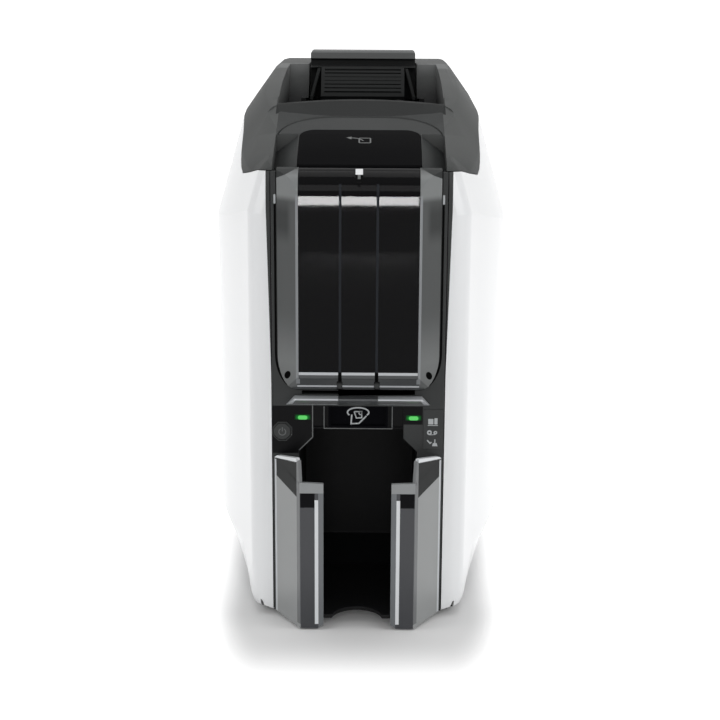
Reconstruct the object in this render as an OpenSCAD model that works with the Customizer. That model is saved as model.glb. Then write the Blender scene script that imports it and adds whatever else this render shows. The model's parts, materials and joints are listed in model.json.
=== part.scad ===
// ID card printer: a slim tower with a smoked input hopper door, a lift-up top
// cover and a front output hopper. Millimetres. X is the width, +Y the rear, +Z up.
// The origin is on the table, at the middle of the printer's plan.

/* [Housing] */
// Width over the white side panels
body_w = 160; // [156:1:170]
// Depth from the output wings' lips to the rear connectors
body_d = 400; // [394:1:410]
// Overall height, to the top of the latch lever's tab
body_h = 276.5; // [274.5:0.5:284.5]
// Wall thickness of the large mouldings
wall = 2.6; // [2.2:0.1:3]
// Width of the dark band between the white panels at the front
band_w = 87; // [86:0.5:90]
// Seam left between two housing parts
seam = 0.4; // [0.3:0.05:0.6]
// Height of the rubber feet
foot_h = 3; // [2.5:0.5:4]
// Radius of the rubber feet
foot_r = 7; // [6:0.5:8]

/* [Card] */
// Short side of the card
card_w = 54; // [53:0.5:55]
// Long side of the card
card_l = 85.6; // [84:0.2:87]
// Play beside and behind the card
card_play = 1; // [0.6:0.1:1.4]

/* [Input hopper] */
// Height of the card path and the hopper's floor
path_z = 120; // [119:0.5:121]
// Width of the whole smoked door
door_w = 80.6; // [79:0.2:81]
// Width of the door's slanted side faces, seen from the front
door_side = 10.3; // [9.5:0.1:11]
// How far the pane stands in front of the bezel
door_bulge = 8; // [6:0.5:10]
// Wall thickness of the door
door_wall = 2; // [1.8:0.1:2.4]
// Height of the door's lower edge
door_z = 123.5; // [122.5:0.5:124.5]
// Thickness of the card weight
weight_t = 9; // [7:0.5:12]

/* [Control band] */
// Height of the control band's lower edge
control_z = 89; // [88:0.5:90]
// Half width of the eight-sided power button
button_r = 4.2; // [4:0.1:4.4]
// Travel of the power button
button_travel = 1.2; // [0.8:0.1:1.6]
// Width of the single-card slot
slot_w = 57; // [56.5:0.5:59]
// Height of the single-card slot
slot_h = 2; // [1.6:0.2:2.4]

/* [Output hopper] */
// How far the wings stand in front of the bezel
wing_reach = 18; // [16:0.5:20]
// Height of the wings at their outer edge
wing_z = 87; // [84:0.5:88]
// Height of the wings' front lips
lip_z = 78.5; // [74:0.5:80]
// Half of the gap between the front lips
lip_gap = 17; // [15:0.5:19]
// Wall thickness of the wings
wing_wall = 2.2; // [2:0.1:2.6]

/* [Mechanism] */
// Radius of the platen roller
platen_r = 8; // [7:0.5:8.5]
// Radius of the pick roller
pick_r = 6; // [5.5:0.5:6.5]
// Radius of the transport, cleaning and exit rollers
feed_r = 6.4; // [6:0.2:7]
// Radius of the roller shafts
shaft_r = 3; // [2.5:0.25:3.5]
// Radial running clearance of the shafts
run_gap = 0.06; // [0.04:0.01:0.08]
// Module of the gears
gear_m = 1; // [0.8:0.1:1.1]
// Teeth on the motor pinion
pinion_teeth = 16; // [16:1:18]
// Teeth on the platen gear
gear_teeth = 60; // [56:1:62]
// Pitch radius of the belt pulleys
pulley_r = 9; // [8:0.5:10]
// Thickness of the steel side frames
frame_t = 1.5; // [1.2:0.1:2]
// Half of the clear width between the side frames
frame_x = 34; // [33.5:0.25:35]

/* [Hidden] */
$fn = 48;
eps = 0.01;
front_y = -body_d/2 + wing_reach;
rear_y = body_d/2 - 2.5;
base_z = foot_h;
roof_z = body_h - 4.5;
ridge_z = roof_z - 3.5;
band_x = band_w/2;
pane_w = door_w - 2*door_side;
strip_w = 12.5;
strip_d = 12;
flare_y = front_y + 122;
wide_y = flare_y;
tail_y = rear_y - 48;
tail_in = 14;
bevel_in = 20;
bevel_z = 30;
shoulder_front_z = roof_z - 61;
shoulder_z = roof_z - 78;
lean = tan(16);
peak_y = front_y + 202;
top_front_z = roof_z - 38;
top_rear_z = roof_z - 18;

// ---- the housing's form, from which the shells are cut ----

function ease(t) = sin(90*max(0, min(1, t)));
function flare_at(y) = ease((y - front_y - strip_d)/(wide_y - front_y - strip_d));
function tail_at(y) = y <= tail_y ? 0 : 1 - sqrt(max(0, 1 - pow((y - tail_y)/(rear_y - tail_y), 2)));
// Half width of the form at a depth y
function half_w(y) = y < front_y + strip_d
    ? band_x + strip_w*sqrt(max(0, 1 - pow(1 - (y - front_y)/strip_d, 2)))
    : band_x + strip_w + (body_w/2 - band_x - strip_w)*flare_at(y) - tail_in*tail_at(y);
// Height of the form's top line
function top_z(y) = y < peak_y
    ? ridge_z - (ridge_z - top_front_z)*pow((peak_y - y)/(peak_y - front_y), 2.75)
    : ridge_z - (ridge_z - top_rear_z)*pow((y - peak_y)/(rear_y - peak_y), 2);
// Height where the wall starts to lean in
function shoulder_at(y) = shoulder_front_z + (shoulder_z - shoulder_front_z)*flare_at(y);
// Depth behind the front and depth below the roof, of two lines along the side:
// the parting line between the white panels and the dark cover, and the bend above it
part_drop = [[0, 39.2], [12, 40.6], [27, 43.9], [42.5, 46.8], [50, 45.3], [57.4, 42.2], [63, 38.8], [71, 33.5],
    [80, 28.5], [95, 25], [122, 23], [202, 22], [302, 27], [379.5, 44]];
bend_drop = [[0, 39.2], [12, 40.4], [27, 41.6], [42, 41.4], [52, 40], [63, 37], [71, 33], [80, 28.3], [95, 24.8],
    [122, 22.8], [202, 21.8], [302, 26.8], [379.5, 43.8]];
part_line = [for (p = part_drop) [front_y + p[0]*(rear_y - front_y)/379.5, roof_z - p[1]]];
function part_z(y) = lookup(y, part_line);
function bend_z(y) = roof_z - lookup((y - front_y)*379.5/(rear_y - front_y), bend_drop);
function bend_x(y) = half_w(y) - lean*(bend_z(y) - shoulder_at(y));
function ridge_x(y) = bend_x(y) - 0.72*(top_z(y) - bend_z(y));
stations = [for (a = [0:22.5:67.5]) front_y + strip_d*(1 - cos(a)),
    for (d = [12, 27, 42, 52, 63, 71, 80, 95, 107]) front_y + d, flare_y, flare_y + 40,
    peak_y, peak_y + 50, peak_y + 100, tail_y,
    for (a = [30:20:90]) tail_y + (rear_y - tail_y)*sin(a)];

edge_r = 5;
function snap(v) = round(v*2000)/2000;
// Corners of the half section at a depth y, from the bottom up
function half_section(y) = let (bevel = bevel_in*flare_at(y)) [[half_w(y) - bevel, base_z], [half_w(y), bevel_z],
    [half_w(y), shoulder_at(y)], [bend_x(y), bend_z(y)], [ridge_x(y), top_z(y)]];
function inward(p, q) = let (d = q - p) [-d[1], d[0]]/norm(d);
// A rounded corner q between p and r, moved in by inset
function corner(p, q, r, inset) = let (m = inward(p, q), n = inward(q, r), c = q + (m + n)*edge_r/(1 + m*n),
    k = (m + n)/norm(m + n)) [for (w = [m, k, n]) c - w*(edge_r - inset)];
function form_points(y, inset) = let (h = half_section(y), loop = concat(h, [for (i = [4:-1:0]) [-h[i][0], h[i][1]]]))
    [for (i = [0:9]) for (p = corner(loop[(i + 9) % 10], loop[i], loop[(i + 1) % 10], inset)) [snap(p[0]), snap(y), snap(p[1])]];

module body_form(inset = 0) {
    at = [for (y = stations) max(front_y + inset, min(rear_y - inset, y))];
    for (i = [0:len(at) - 2]) if (at[i + 1] - at[i] > 0.05) hull() {
        polyhedron(concat(form_points(at[i], inset), form_points(at[i + 1], inset)), [[for (k = [0:29]) k], [for (k = [30:59]) k]]);
    }
}

// Everything above the parting line, moved up by rise
module above_parting(rise) translate([-body_w, 0, 0]) rotate([90, 0, 90])
    linear_extrude(2*body_w)
        polygon([[front_y - 40, part_line[0][1] + rise], for (p = part_line) [p[0], p[1] + rise],
            [rear_y + 40, part_line[len(part_line) - 1][1] + rise],
            [rear_y + 40, roof_z + 60], [front_y - 40, roof_z + 60]]);

// A box given by its two corners
module box(a, b) translate(a) cube(b - a);

// A cylinder along X between x0 and x1, at (y, z)
module rod(x0, x1, y, z, r) translate([x0, y, z]) rotate([0, 90, 0]) cylinder(r = r, h = x1 - x0);

// A flat outline in X and Z, from y0 to y1
module slab_y(y0, y1) translate([0, y1, 0]) rotate([90, 0, 0]) linear_extrude(y1 - y0) children();

// A flat outline in Y and Z, from x0 to x1
module slab_x(x0, x1) translate([x0, 0, 0]) rotate([90, 0, 90]) linear_extrude(x1 - x0) children();

// Points of an arc in Y and Z
function arc(cy, cz, r, a0, a1, n = 6) =
    [for (i = [0:n]) let (a = a0 + (a1 - a0)*i/n) [cy + r*cos(a), cz + r*sin(a)]];

module both_sides() {
    children();
    mirror([1, 0, 0]) children();
}

// ---- white side panels ----

rear_opening_x = 57.5;
tray_x = 50;

module panel_shell() difference() {
    body_form();
    body_form(wall);
}

module side_panel() color("white") difference() {
    union() {
        difference() {
            panel_shell();
            above_parting(-seam/2);
            hinge_sweep();
        }
        // a round boss closes the side over the hinge
        intersection() {
            panel_shell();
            rod(0, body_w/2, hinge_y, hinge_z, boss_r);
        }
    }
    box([-body_w, front_y - 1, 0], [band_x + seam/2, rear_y + 1, roof_z + 20]);
    box([-1, rear_y - 12, 0], [rear_opening_x + seam, rear_y + 1, roof_z]);
    box([-1, front_y + 2, 0], [tray_x + seam, rear_y + 1, base_z + wall + 2]);
}

hinge_y = rear_y - 9;
hinge_z = roof_z - 46;
barrel_r = 6;
barrel_x = 56;
pin_r = 2.5;
boss_r = barrel_r + 1;
sweep_r = barrel_r + 6.6;
// Where the cover's rear corner passes as it opens
module hinge_sweep() difference() {
    rod(-body_w, body_w, hinge_y, hinge_z, sweep_r);
    box([-2*body_w, hinge_y - 40, hinge_z - 40], [2*body_w, hinge_y - 4, hinge_z + 40]);
}

module left_side_panel() mirror([1, 0, 0]) side_panel();
module right_side_panel() side_panel();

// ---- top cover ----

trough_x = 43.5;
trough_bow = 8;
trough_front_y = peak_y - 124;
trough_z = roof_z - 26;
latch_w = 62;
latch_gap = 1;
crease_x = door_w/2 + 2.3;
crease_y = front_y + 61;
collar_drop = 1.4;
collar_dip = 2.2;
hood_x = pane_w/2 + 0.5;
hood_y = front_y + 42;
insert_t = 1.4;
insert_fit = 0.15;
ledge_z = roof_z - 32;
hook_x = 29;
hook_t = 3;

// Side view of the finger trough, grown by a wall thickness
module trough_outline(grow) let (y0 = trough_front_y - trough_bow) polygon(concat(
    [[y0 - grow, roof_z + 20]],
    arc(y0 + 18, trough_z + 18, 18 + grow, 180, 270),
    arc(peak_y - 38, trough_z + 34, 34 + grow, 270, 340),
    [[peak_y - 4 + grow, roof_z + 20]]));

// Its front edge bows forward towards the sides
function trough_front(x) = trough_front_y - trough_bow*pow(x/trough_x, 2);
module trough(grow) {
    intersection() {
        slab_x(-trough_x - grow, trough_x + grow) trough_outline(grow);
        linear_extrude(roof_z + 30) polygon(concat([for (i = [-8:8]) let (x = i*(trough_x + grow)/8) [x, trough_front(x) - grow]],
            [[body_w, rear_y], [-body_w, rear_y]]));
    }
    box([-latch_w/2 - latch_gap - grow, peak_y - 30, trough_z - grow],
        [latch_w/2 + latch_gap + grow, peak_y + 8 + grow, roof_z + 20]);
}

// Plan of an arch that is open at the front
module arch_plan(x, y_end, corner) {
    translate([-x, front_y - 20]) square([2*x, y_end - corner - front_y + 20]);
    translate([-x + corner, y_end - 2*corner]) square([2*(x - corner), 2*corner]);
    for (s = [-1, 1]) translate([s*(x - corner), y_end - corner]) circle(corner);
}

// How far the collar lies under the form's top line at a depth y
function dip(y) = collar_dip*max(0, min(1, (y - front_y - 15)/45));

// Everything higher than the form's top line less a depth, and less the collar's dip
module above_top(depth, dipped = 0) slab_x(-body_w, body_w)
    polygon(concat([for (y = [front_y - 12:6:front_y + 84]) [y, top_z(max(y, front_y)) - depth - dipped*dip(y)]],
        [[front_y + 84, roof_z + 20], [front_y - 12, roof_z + 20]]));

// The slope from the crest in front of the trough down to the crease round the collar
crest = [[0, -1.6], [11, -2.1], [22, -3.7], [33, -6.3], [43, -9.7], [48.5, -14.5], [53, -24], [56.5, -34.7], [58.5, -48.9], [59, -70.3]];
crease = [[0, 0], [11, -0.5], [21.5, -2.4], [31.5, -7], [37.8, -14], [41.2, -22.5], [42.2, -33.6], [42.2, -42.3], [42.2, -51.7], [42.2, -70.3]];
function crest_at(i) = let (x = crest[i][0], y = trough_front_y + crest[i][1]) [x, snap(y), snap(min(top_z(y), bend_z(y) + (bend_x(y) - x)/0.72) + 0.15)];
function crease_at(i) = let (y = crease_y - 0.3 + crease[i][1]) [crease[i][0], snap(y), snap(top_z(y) - collar_drop - dip(y) + 0.2)];
module crest_slope() both_sides() for (i = [0:7]) {
    p = [crest_at(i), crest_at(i + 1), crease_at(i + 1), crease_at(i)];
    hull() {
        polyhedron(concat(p, [for (q = p) [q[0], q[1], roof_z + 20]]), [[0, 1, 2, 3], [7, 6, 5, 4], [0, 4, 5, 1], [1, 5, 6, 2], [2, 6, 7, 3], [3, 7, 4, 0]]);
    }
}

module below_parting() translate([-body_w, 0, 0]) rotate([90, 0, 90]) linear_extrude(2*body_w)
    polygon([[front_y - 40, -10], [front_y - 40, part_line[0][1] + seam/2],
        for (p = part_line) [p[0], p[1] + seam/2],
        [rear_y + 40, part_line[len(part_line) - 1][1] + seam/2], [rear_y + 40, -10]]);

module hinge_cut() box([-body_w, hinge_y - barrel_r - 1.4, 0],
    [body_w, rear_y + 1, hinge_z + barrel_r + 2]);

module hood_facet() intersection() {
    slab_y(front_y - 12, hood_y - 5) polygon([[hood_x + 0.6, roof_z], [hood_x + 0.6, 0], [crease_x, 0], [crease_x, roof_z]]);
    multmatrix([[1, 0, 0, 0], [0, 1, 0, 0], [-0.75, 0, 1, 0.75*hood_x], [0, 0, 0, 1]]) above_top(collar_drop + 0.6, 1);
}

// Flat ledges inside the cover, where its barrel is screwed on
module cover_ledges() intersection() {
    body_form(wall/2);
    both_sides() box([26, hinge_y - 20, ledge_z], [barrel_x + 2, rear_y - wall, roof_z]);
}

module top_cover() color("dimgray") {
    difference() {
        union() {
            difference() {
                body_form();
                body_form(wall + 1.4);
            }
            intersection() {
                body_form(0.02);
                trough(wall);
            }
            intersection() {
                body_form(0.02);
                box([-latch_w/2 - 6, peak_y - 30, trough_z - wall], [latch_w/2 + 6, peak_y + 50, trough_z - wall + 3]);
            }
            cover_ledges();
            // the hood is thicker, so that its slanted edges stay closed
            intersection() {
                body_form();
                above_top(13);
                union() {
                    both_sides() box([hood_x - 4, front_y + 4.6, 0], [crease_x + 1, hood_y, roof_z]);
                    box([-crease_x, hood_y - 8, 0], [crease_x, crease_y + 2, roof_z]);
                    box([-54, front_y + 24, 0], [54, trough_front_y - 2, roof_z]);
                }
            }
        }
        trough(0);
        below_parting();
        // the collar lies lower than the saddle round it, below a slope with a fine crease
        intersection() {
            linear_extrude(roof_z + 20) arch_plan(crease_x, crease_y + 0.2, 30);
            above_top(collar_drop, 1);
        }
        crest_slope();
        intersection() {
            linear_extrude(roof_z + 20) difference() {
                arch_plan(crease_x, crease_y, 30);
                arch_plan(crease_x - 1, crease_y - 1, 29);
            }
            above_top(collar_drop + 1, 1);
        }
        both_sides() hood_facet();
        // the insert's seat
        intersection() {
            linear_extrude(roof_z + 20) arch_plan(hood_x + insert_fit, hood_y, 8);
            above_top(collar_drop + insert_t, 1);
        }
        // the front end, where the smoked door rolls in
        box([-door_w/2 - 0.5, front_y - 5, 0], [door_w/2 + 0.5, front_y + 4.6, roof_z]);
        // the latch lever's opening and the slots for its hooks
        box([-latch_w/2 - latch_gap, peak_y - 30, trough_z - 8], [latch_w/2 + latch_gap, peak_y + 8, trough_z + 1]);
        both_sides() box([hook_x - 3, latch_y - 12, trough_z - 8], [hook_x + hook_t + 1, latch_y + 10, latch_z + 5.4]);
        hinge_cut();
    }
}

module hood_insert() color("black") intersection() {
    linear_extrude(roof_z + 20) difference() {
        arch_plan(hood_x, hood_y - insert_fit, 8);
        translate([-body_w, front_y - 30]) square([2*body_w, 34.6]);
    }
    difference() {
        above_top(collar_drop + insert_t, 1);
        above_top(collar_drop - 0.3, 1);
    }
}

// ---- cover hinge ----

barrel_x0 = 34;
barrel_bore = pin_r + run_gap;
module barrel_web() slab_x(barrel_x0, barrel_x - 9) polygon([
    [hinge_y - barrel_r, hinge_z], [hinge_y - barrel_r - 3, ledge_z - 0.3], [hinge_y + 3, ledge_z - 0.3], [hinge_y + barrel_r - 0.6, hinge_z]]);
module cover_hinge_barrel() color("dimgray") both_sides() difference() {
    union() {
        rod(barrel_x0, barrel_x, hinge_y, hinge_z, barrel_r);
        barrel_web();
    }
    rod(barrel_x0 - 1, barrel_x + 1, hinge_y, hinge_z, barrel_bore);
}

knuckle_x = 26;
module hinge_pins() color("silver") both_sides()
    rod(knuckle_x, barrel_x - 1, hinge_y, hinge_z, pin_r);

// ---- latch ----

latch_y = peak_y - 12;
latch_z = roof_z - 32;
axle_r = 2.5;
tab_z = body_h;
keeper_z = roof_z - 66;
keeper_r = 2.5;
hook_gap = 0.35;
lever_x = latch_w/2;

grip_y = peak_y - 28;
grip_x = lever_x - 6.5;
module lever_side() polygon([[peak_y + 1, tab_z], [peak_y - 9.5, tab_z], [peak_y - 10.5, tab_z - 1], [peak_y - 10.5, tab_z - 4.5],
    [peak_y - 7, tab_z - 5.5], [peak_y - 7, tab_z - 8.5], [grip_y + 13, tab_z - 9.5], [grip_y + 9.5, tab_z - 13],
    [grip_y + 5, tab_z - 18.5], [grip_y + 1.5, tab_z - 22.5], [grip_y, tab_z - 25], [grip_y + 2, trough_z + 3.5],
    [grip_y + 8, trough_z + 2], [peak_y, trough_z + 2], [peak_y + 4, trough_z + 5], [peak_y + 4, tab_z - 3]]);

// A slanted cheek beside the grip
module lever_cheek() hull() {
    box([grip_x + 0.6, grip_y + 12, tab_z - 12], [grip_x + 2.2, peak_y - 2, tab_z - 10]);
    box([lever_x - 1.7, grip_y + 4, trough_z + 3], [lever_x - 0.1, peak_y - 4, trough_z + 5]);
}

module latch_lever() color("dimgray") difference() {
    union() {
        slab_x(-lever_x, lever_x) intersection() {
            lever_side();
            union() {
                translate([peak_y - 40, tab_z - 9.4]) square([60, 20]);
                translate([peak_y - 5, 0]) square([40, roof_z]);
            }
        }
        slab_x(-grip_x, grip_x) lever_side();
        both_sides() lever_cheek();
        slab_x(-20, 20) {
            translate([latch_y, latch_z]) circle(5);
            translate([latch_y - 5, latch_z]) square([10, trough_z + 4 - latch_z]);
        }
    }
    rod(-21, 21, latch_y, latch_z, axle_r);
    // the tab's rounded corners
    slab_y(peak_y - 20, peak_y + 10) both_sides() difference() {
        translate([lever_x - 2, tab_z - 2]) square(3);
        translate([lever_x - 2, tab_z - 2]) circle(2);
    }
    // the grip's ribs
    for (t = [0.1:0.13:0.9]) rod(-grip_x + 2, grip_x - 2, grip_y + 13.2 - 11*t - 2*t*t, tab_z - 9.3 - 15.5*t, 0.8);
}

module hook_side() polygon([[latch_y - 4, latch_z], [latch_y - 4, keeper_z + 6], [latch_y - 4.5, keeper_z - keeper_r - hook_gap],
    [latch_y - 9, keeper_z - keeper_r - hook_gap], [latch_y - 6, keeper_z - keeper_r - 6],
    [latch_y, keeper_z - keeper_r - 5], [latch_y + 3, keeper_z + 8], [latch_y + 4, latch_z]]);

keeper_y = latch_y - 4.5 - keeper_r - 2.2;
module latch_hooks() color("silver") {
    rod(-hook_x - hook_t - 4.2, hook_x + hook_t + 4.2, latch_y, latch_z, axle_r);
    both_sides() slab_x(hook_x, hook_x + hook_t) difference() {
        union() {
            hook_side();
            translate([latch_y, latch_z]) circle(5);
        }
        translate([latch_y, latch_z]) circle(axle_r - 0.01);
    }
}

module latch_bearings() color("dimgray") both_sides() slab_x(hook_x + hook_t + 0.6, hook_x + hook_t + 3.6) difference() {
    union() {
        translate([latch_y, latch_z]) circle(4.6);
        translate([latch_y - 8, latch_z]) square([16, trough_z - wall - latch_z]);
    }
    translate([latch_y, latch_z]) circle(axle_r + run_gap);
}

module keeper_pins() both_sides()
    rod(hook_x - 1, frame_x, keeper_y, keeper_z, keeper_r);

// ---- print head on the cover ----

head_y = peak_y - 5;
head_z = path_z + 0.9;
head_x = 27;
bracket_y0 = peak_y + 16;
bracket_y1 = peak_y + 44;
bracket_t = 2;
module head_bracket() color("silver") {
    both_sides() slab_x(head_x - bracket_t, head_x) polygon([[bracket_y0, trough_z - wall - 2], [head_y - 9, head_z + 38],
        [head_y - 9, head_z + 14], [head_y + 9, head_z + 14], [head_y + 14, head_z + 34], [bracket_y1, trough_z - wall - 2]]);
    box([-head_x, bracket_y0, trough_z - wall - 2], [head_x, bracket_y1, trough_z - wall]);
    box([-head_x, head_y - 9, head_z + 12], [head_x, head_y + 9, head_z + 14]);
}

module print_head() color("black") difference() {
    slab_x(-head_x, head_x) polygon([[head_y - 8, head_z + 12], [head_y - 8, head_z + 5], [head_y - 2, head_z],
        [head_y + 2, head_z], [head_y + 8, head_z + 5], [head_y + 8, head_z + 12]]);
    box([-20, head_y + 6, head_z + 7], [20, head_y + 9, head_z + 10]);
}

module head_heat_sink() color("gainsboro") {
    box([-22, head_y - 7, head_z + 14], [22, head_y + 7, head_z + 16]);
    for (i = [-3:3]) box([i*6.5 - 0.8, head_y - 7, head_z + 16], [i*6.5 + 0.8, head_y + 7, head_z + 28]);
}

// ---- smoked hopper door ----

door_pivot_y = front_y - 2.6;
door_pivot_z = door_z + 2.4;
door_barrel_r = 2.3;
door_pin_r = 1.2;
door_back = 0.3;
corner_x = 10;
corner_z = 17;
lug_x = 9.3;
lug_w = 2.2;
door_pane_z0 = door_z + 7.5;
door_pane_z1 = roof_z - 50;
door_top_z = roof_z - 38;

module door_profile(d) polygon(concat(
    [[front_y + 8, door_z - 20], [front_y - door_bulge + 5 + d, door_z - 20], [front_y - door_bulge + 5 + d, door_z + d],
    [front_y - door_bulge + d, door_pane_z0 + d*0.4], [front_y - door_bulge + d, door_pane_z1]],
    [for (a = [15:15:75]) [front_y - door_bulge + 12*(1 - cos(a)) + d*cos(a), door_pane_z1 + (12 - d)*sin(a)]],
    [[front_y - door_bulge + 12, door_top_z - d], [front_y + 8, door_top_z - d]]));

module door_plan(d) polygon([[-door_w/2 + d, front_y + 8], [-door_w/2 + d, front_y - door_back], [-pane_w/2 + d*0.4, front_y - door_bulge + d],
    [pane_w/2 - d*0.4, front_y - door_bulge + d], [door_w/2 - d, front_y - door_back], [door_w/2 - d, front_y + 8]]);

// Front view, with tall rounded corners at the bottom
module door_face(d) {
    translate([-door_w/2 + corner_x, door_z + d]) square([door_w - 2*corner_x, 200]);
    translate([-door_w/2 + d, door_z + corner_z]) square([door_w - 2*d, 200]);
    polygon([for (a = [180:10:360]) [(a > 270 ? 1 : -1)*(door_w/2 - corner_x) + (corner_x - d)*cos(a), door_z + corner_z + (corner_z - d)*sin(a)]]);
}

module door_solid(d) intersection() {
    slab_x(-door_w, door_w) door_profile(d);
    translate([0, 0, door_z - 10]) linear_extrude(200) door_plan(d);
    slab_y(front_y - 40, front_y + 7) door_face(d);
    slab_x(-door_w, door_w) polygon([[front_y - 30, 0], [front_y - door_back, 0], [front_y - door_back, door_pane_z1 + 2],
        [front_y + 4, door_pane_z1 + 6], [front_y + 4, roof_z], [front_y - 30, roof_z]]);
}

module door_shell() difference() {
    door_solid(0);
    door_solid(door_wall);
    box([-door_w/2 + 5.5, front_y - 2.6, door_z + 9], [door_w/2 - 5.5, front_y + 10, door_pane_z1 + 4]);
    box([-door_w/2 + 5.5, front_y - 2, door_pane_z1], [door_w/2 - 5.5, front_y + 10, door_top_z - door_wall]);
}

pane_x = pane_w/2 - 0.4;
module door_pane() color([0.2, 0.2, 0.22, 0.6]) {
    intersection() {
        door_shell();
        box([-pane_x, front_y - 30, door_pane_z0 - 1], [pane_x, front_y + 10, roof_z]);
    }
    both_sides() box([8.5, front_y - door_bulge + door_wall, door_pane_z0 + 3], [9.5, front_y - door_bulge + door_wall + 1.4, door_pane_z1]);
}

module door_carrier() color("gray") difference() {
    union() {
        difference() {
            door_shell();
            box([-pane_x, front_y - 30, door_pane_z0 - 1], [pane_x, front_y + 10, roof_z]);
        }
        intersection() {
            rod(-door_w/2 + 6, door_w/2 - 6, door_pivot_y, door_pivot_z, door_barrel_r);
            door_solid(0);
        }
    }
    rod(-door_w, door_w, door_pivot_y, door_pivot_z, door_pin_r + run_gap);
    // room for the lugs, and a round heel that clears the bezel
    both_sides() box([lug_x - lug_w/2 - 0.3, front_y - 20, door_z - 1], [lug_x + lug_w/2 + 0.3, front_y + 1, door_pivot_z + door_barrel_r + 0.4]);
    slab_x(-door_w, door_w) difference() {
        translate([door_pivot_y - 0.1, door_z - 1]) square([10, door_pivot_z - door_z + 1]);
        translate([door_pivot_y, door_pivot_z]) circle(door_barrel_r - 0.05);
    }
}

// Lugs on the bezel that carry the door, and their pins
module door_lugs() both_sides() slab_x(lug_x - lug_w/2, lug_x + lug_w/2) {
    translate([door_pivot_y, door_pivot_z]) circle(door_barrel_r - 0.1);
    translate([door_pivot_y, door_pivot_z - 1.9]) square([front_y - door_pivot_y + 0.1, 4]);
}
module door_hinge_pins() both_sides()
    rod(lug_x - 7, lug_x + 9, door_pivot_y, door_pivot_z, door_pin_r);

module door_pull() color("white") intersection() {
    union() {
        box([-1.8, front_y - 20, door_top_z - 2.4], [1.8, front_y + 10, door_top_z + 2]);
        box([-0.7, front_y - 20, door_top_z - 7.5], [0.7, front_y + 10, door_top_z + 2]);
    }
    slab_x(-10, 10) difference() {
        door_profile(-0.9);
        door_profile(0);
        translate([front_y - 0.5, 0]) square([20, roof_z]);
    }
}

// ---- front bezel and controls ----

cavity_x = 30;
notch_x = 23;
notch_z = 102;
tray_z = base_z + wall;
bezel_t = 2.6;
bezel_back = front_y + bezel_t;
window_x = 15;
window_z1 = path_z - 6.1;
button_x = -38.3;
button_z = (control_z + 112)/2;
lens_x = 28;
lens_z = 108;
lens_w = 8;
lens_h = 2.8;
icon_x0 = 33;
icon_x1 = 42.8;
frame_front_y = front_y + 14;
deck_z = hinge_z - 10;
deck_t = 2;

module cavity_face(grow = 0) offset(delta = grow) polygon([for (side = [-1, 1]) each let (half = [
    [cavity_x, tray_z], [cavity_x, control_z + 1], [notch_x, control_z + 8], [notch_x, notch_z]])
    [for (i = [0:3]) let (p = side > 0 ? half[i] : half[3 - i]) [side*p[0], p[1]]]]);

module octagon(r) rotate(22.5) circle(r = r/cos(22.5), $fn = 8);
module at_button() translate([button_x, button_z]) children();

module front_bezel() color("dimgray") difference() {
    union() {
        slab_y(front_y, bezel_back) difference() {
            translate([-band_x + seam/2, base_z]) square([band_w - seam, part_z(front_y) - base_z - seam]);
            translate([-door_w/2 - 0.5, door_pane_z1 - 2]) square([door_w + 1, 40]);
            translate([-pane_w/2 + 1.4, door_pane_z0]) square([pane_w - 2.8, door_pane_z1 - door_pane_z0]);
            translate([-slot_w/2, path_z]) square([slot_w, slot_h]);
            translate([-window_x, notch_z + 0.6]) square([2*window_x, window_z1 - notch_z - 0.6]);
            cavity_face();
            at_button() octagon(button_r + 0.3);
            for (s = [-1, 1]) translate([s*lens_x - lens_w/2, lens_z - lens_h/2]) square([lens_w, lens_h]);
        }
        door_lugs();
        door_hinge_pins();
        button_ring();
        // the lip's dark middle
        slab_x(-10, 10) lip_side();
        // tabs along the side frames
        for (z = [48, deck_z - 24]) both_sides() box([frame_x + frame_t, bezel_back - 1, z], [frame_x + frame_t + 2.4, frame_front_y + 14, z + 16]);
        // pillars behind the controls
        both_sides() for (z = [92, 108]) box([icon_x1 - 3.4, bezel_back - 1, z], [icon_x1 - 0.6, bezel_back + 5.4, z + 3]);
    }
    // pockets beside the feed window
    both_sides() box([window_x + 0.6, front_y - 1, notch_z + 0.6], [notch_x, front_y + 1.2, window_z1]);
}

lip_out = 6;
module lip_side() polygon([[front_y + 0.1, path_z - 5.5], [front_y - lip_out + 2, path_z - 3.5], [front_y - lip_out, path_z - 1.6],
    [front_y - lip_out, path_z - 0.7], [front_y + 0.1, path_z - 0.7]]);
module feed_lip() color([0.8, 0.8, 0.8, 0.6]) intersection() {
    slab_y(front_y - 20, front_y) both_sides() polygon([[10, path_z - 8], [36.4, path_z - 8], [36.4, path_z - 5.5], [32, path_z - 0.7], [32, path_z + 2], [10, path_z + 2]]);
    slab_x(-40, 40) lip_side();
}

module feed_window() color("black") {
    slab_y(front_y - 0.4, bezel_back) difference() {
        translate([-window_x, notch_z + 0.6]) square([2*window_x, window_z1 - notch_z - 0.6]);
        translate([-window_x + 1.2, notch_z + 1.8]) square([2*window_x - 2.4, window_z1 - notch_z]);
    }
    slab_y(front_y + 0.8, bezel_back) translate([-window_x + 1.1, notch_z + 1.7]) square([2*window_x - 2.2, window_z1 - notch_z - 1.7]);
}

module status_lights() color("lime") for (s = [-1, 1])
    box([s*lens_x - lens_w/2, front_y - 0.2, lens_z - lens_h/2], [s*lens_x + lens_w/2, bezel_back + 5.4, lens_z + lens_h/2]);

module icon_plate() color("dimgray") box([icon_x0, front_y - 0.5, control_z + 2.5], [icon_x1, front_y, 112.5]);

module button_ring() slab_y(front_y - 0.6, front_y + 0.1) difference() {
    at_button() octagon(button_r + 0.8);
    at_button() octagon(button_r + 0.3);
}

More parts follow.
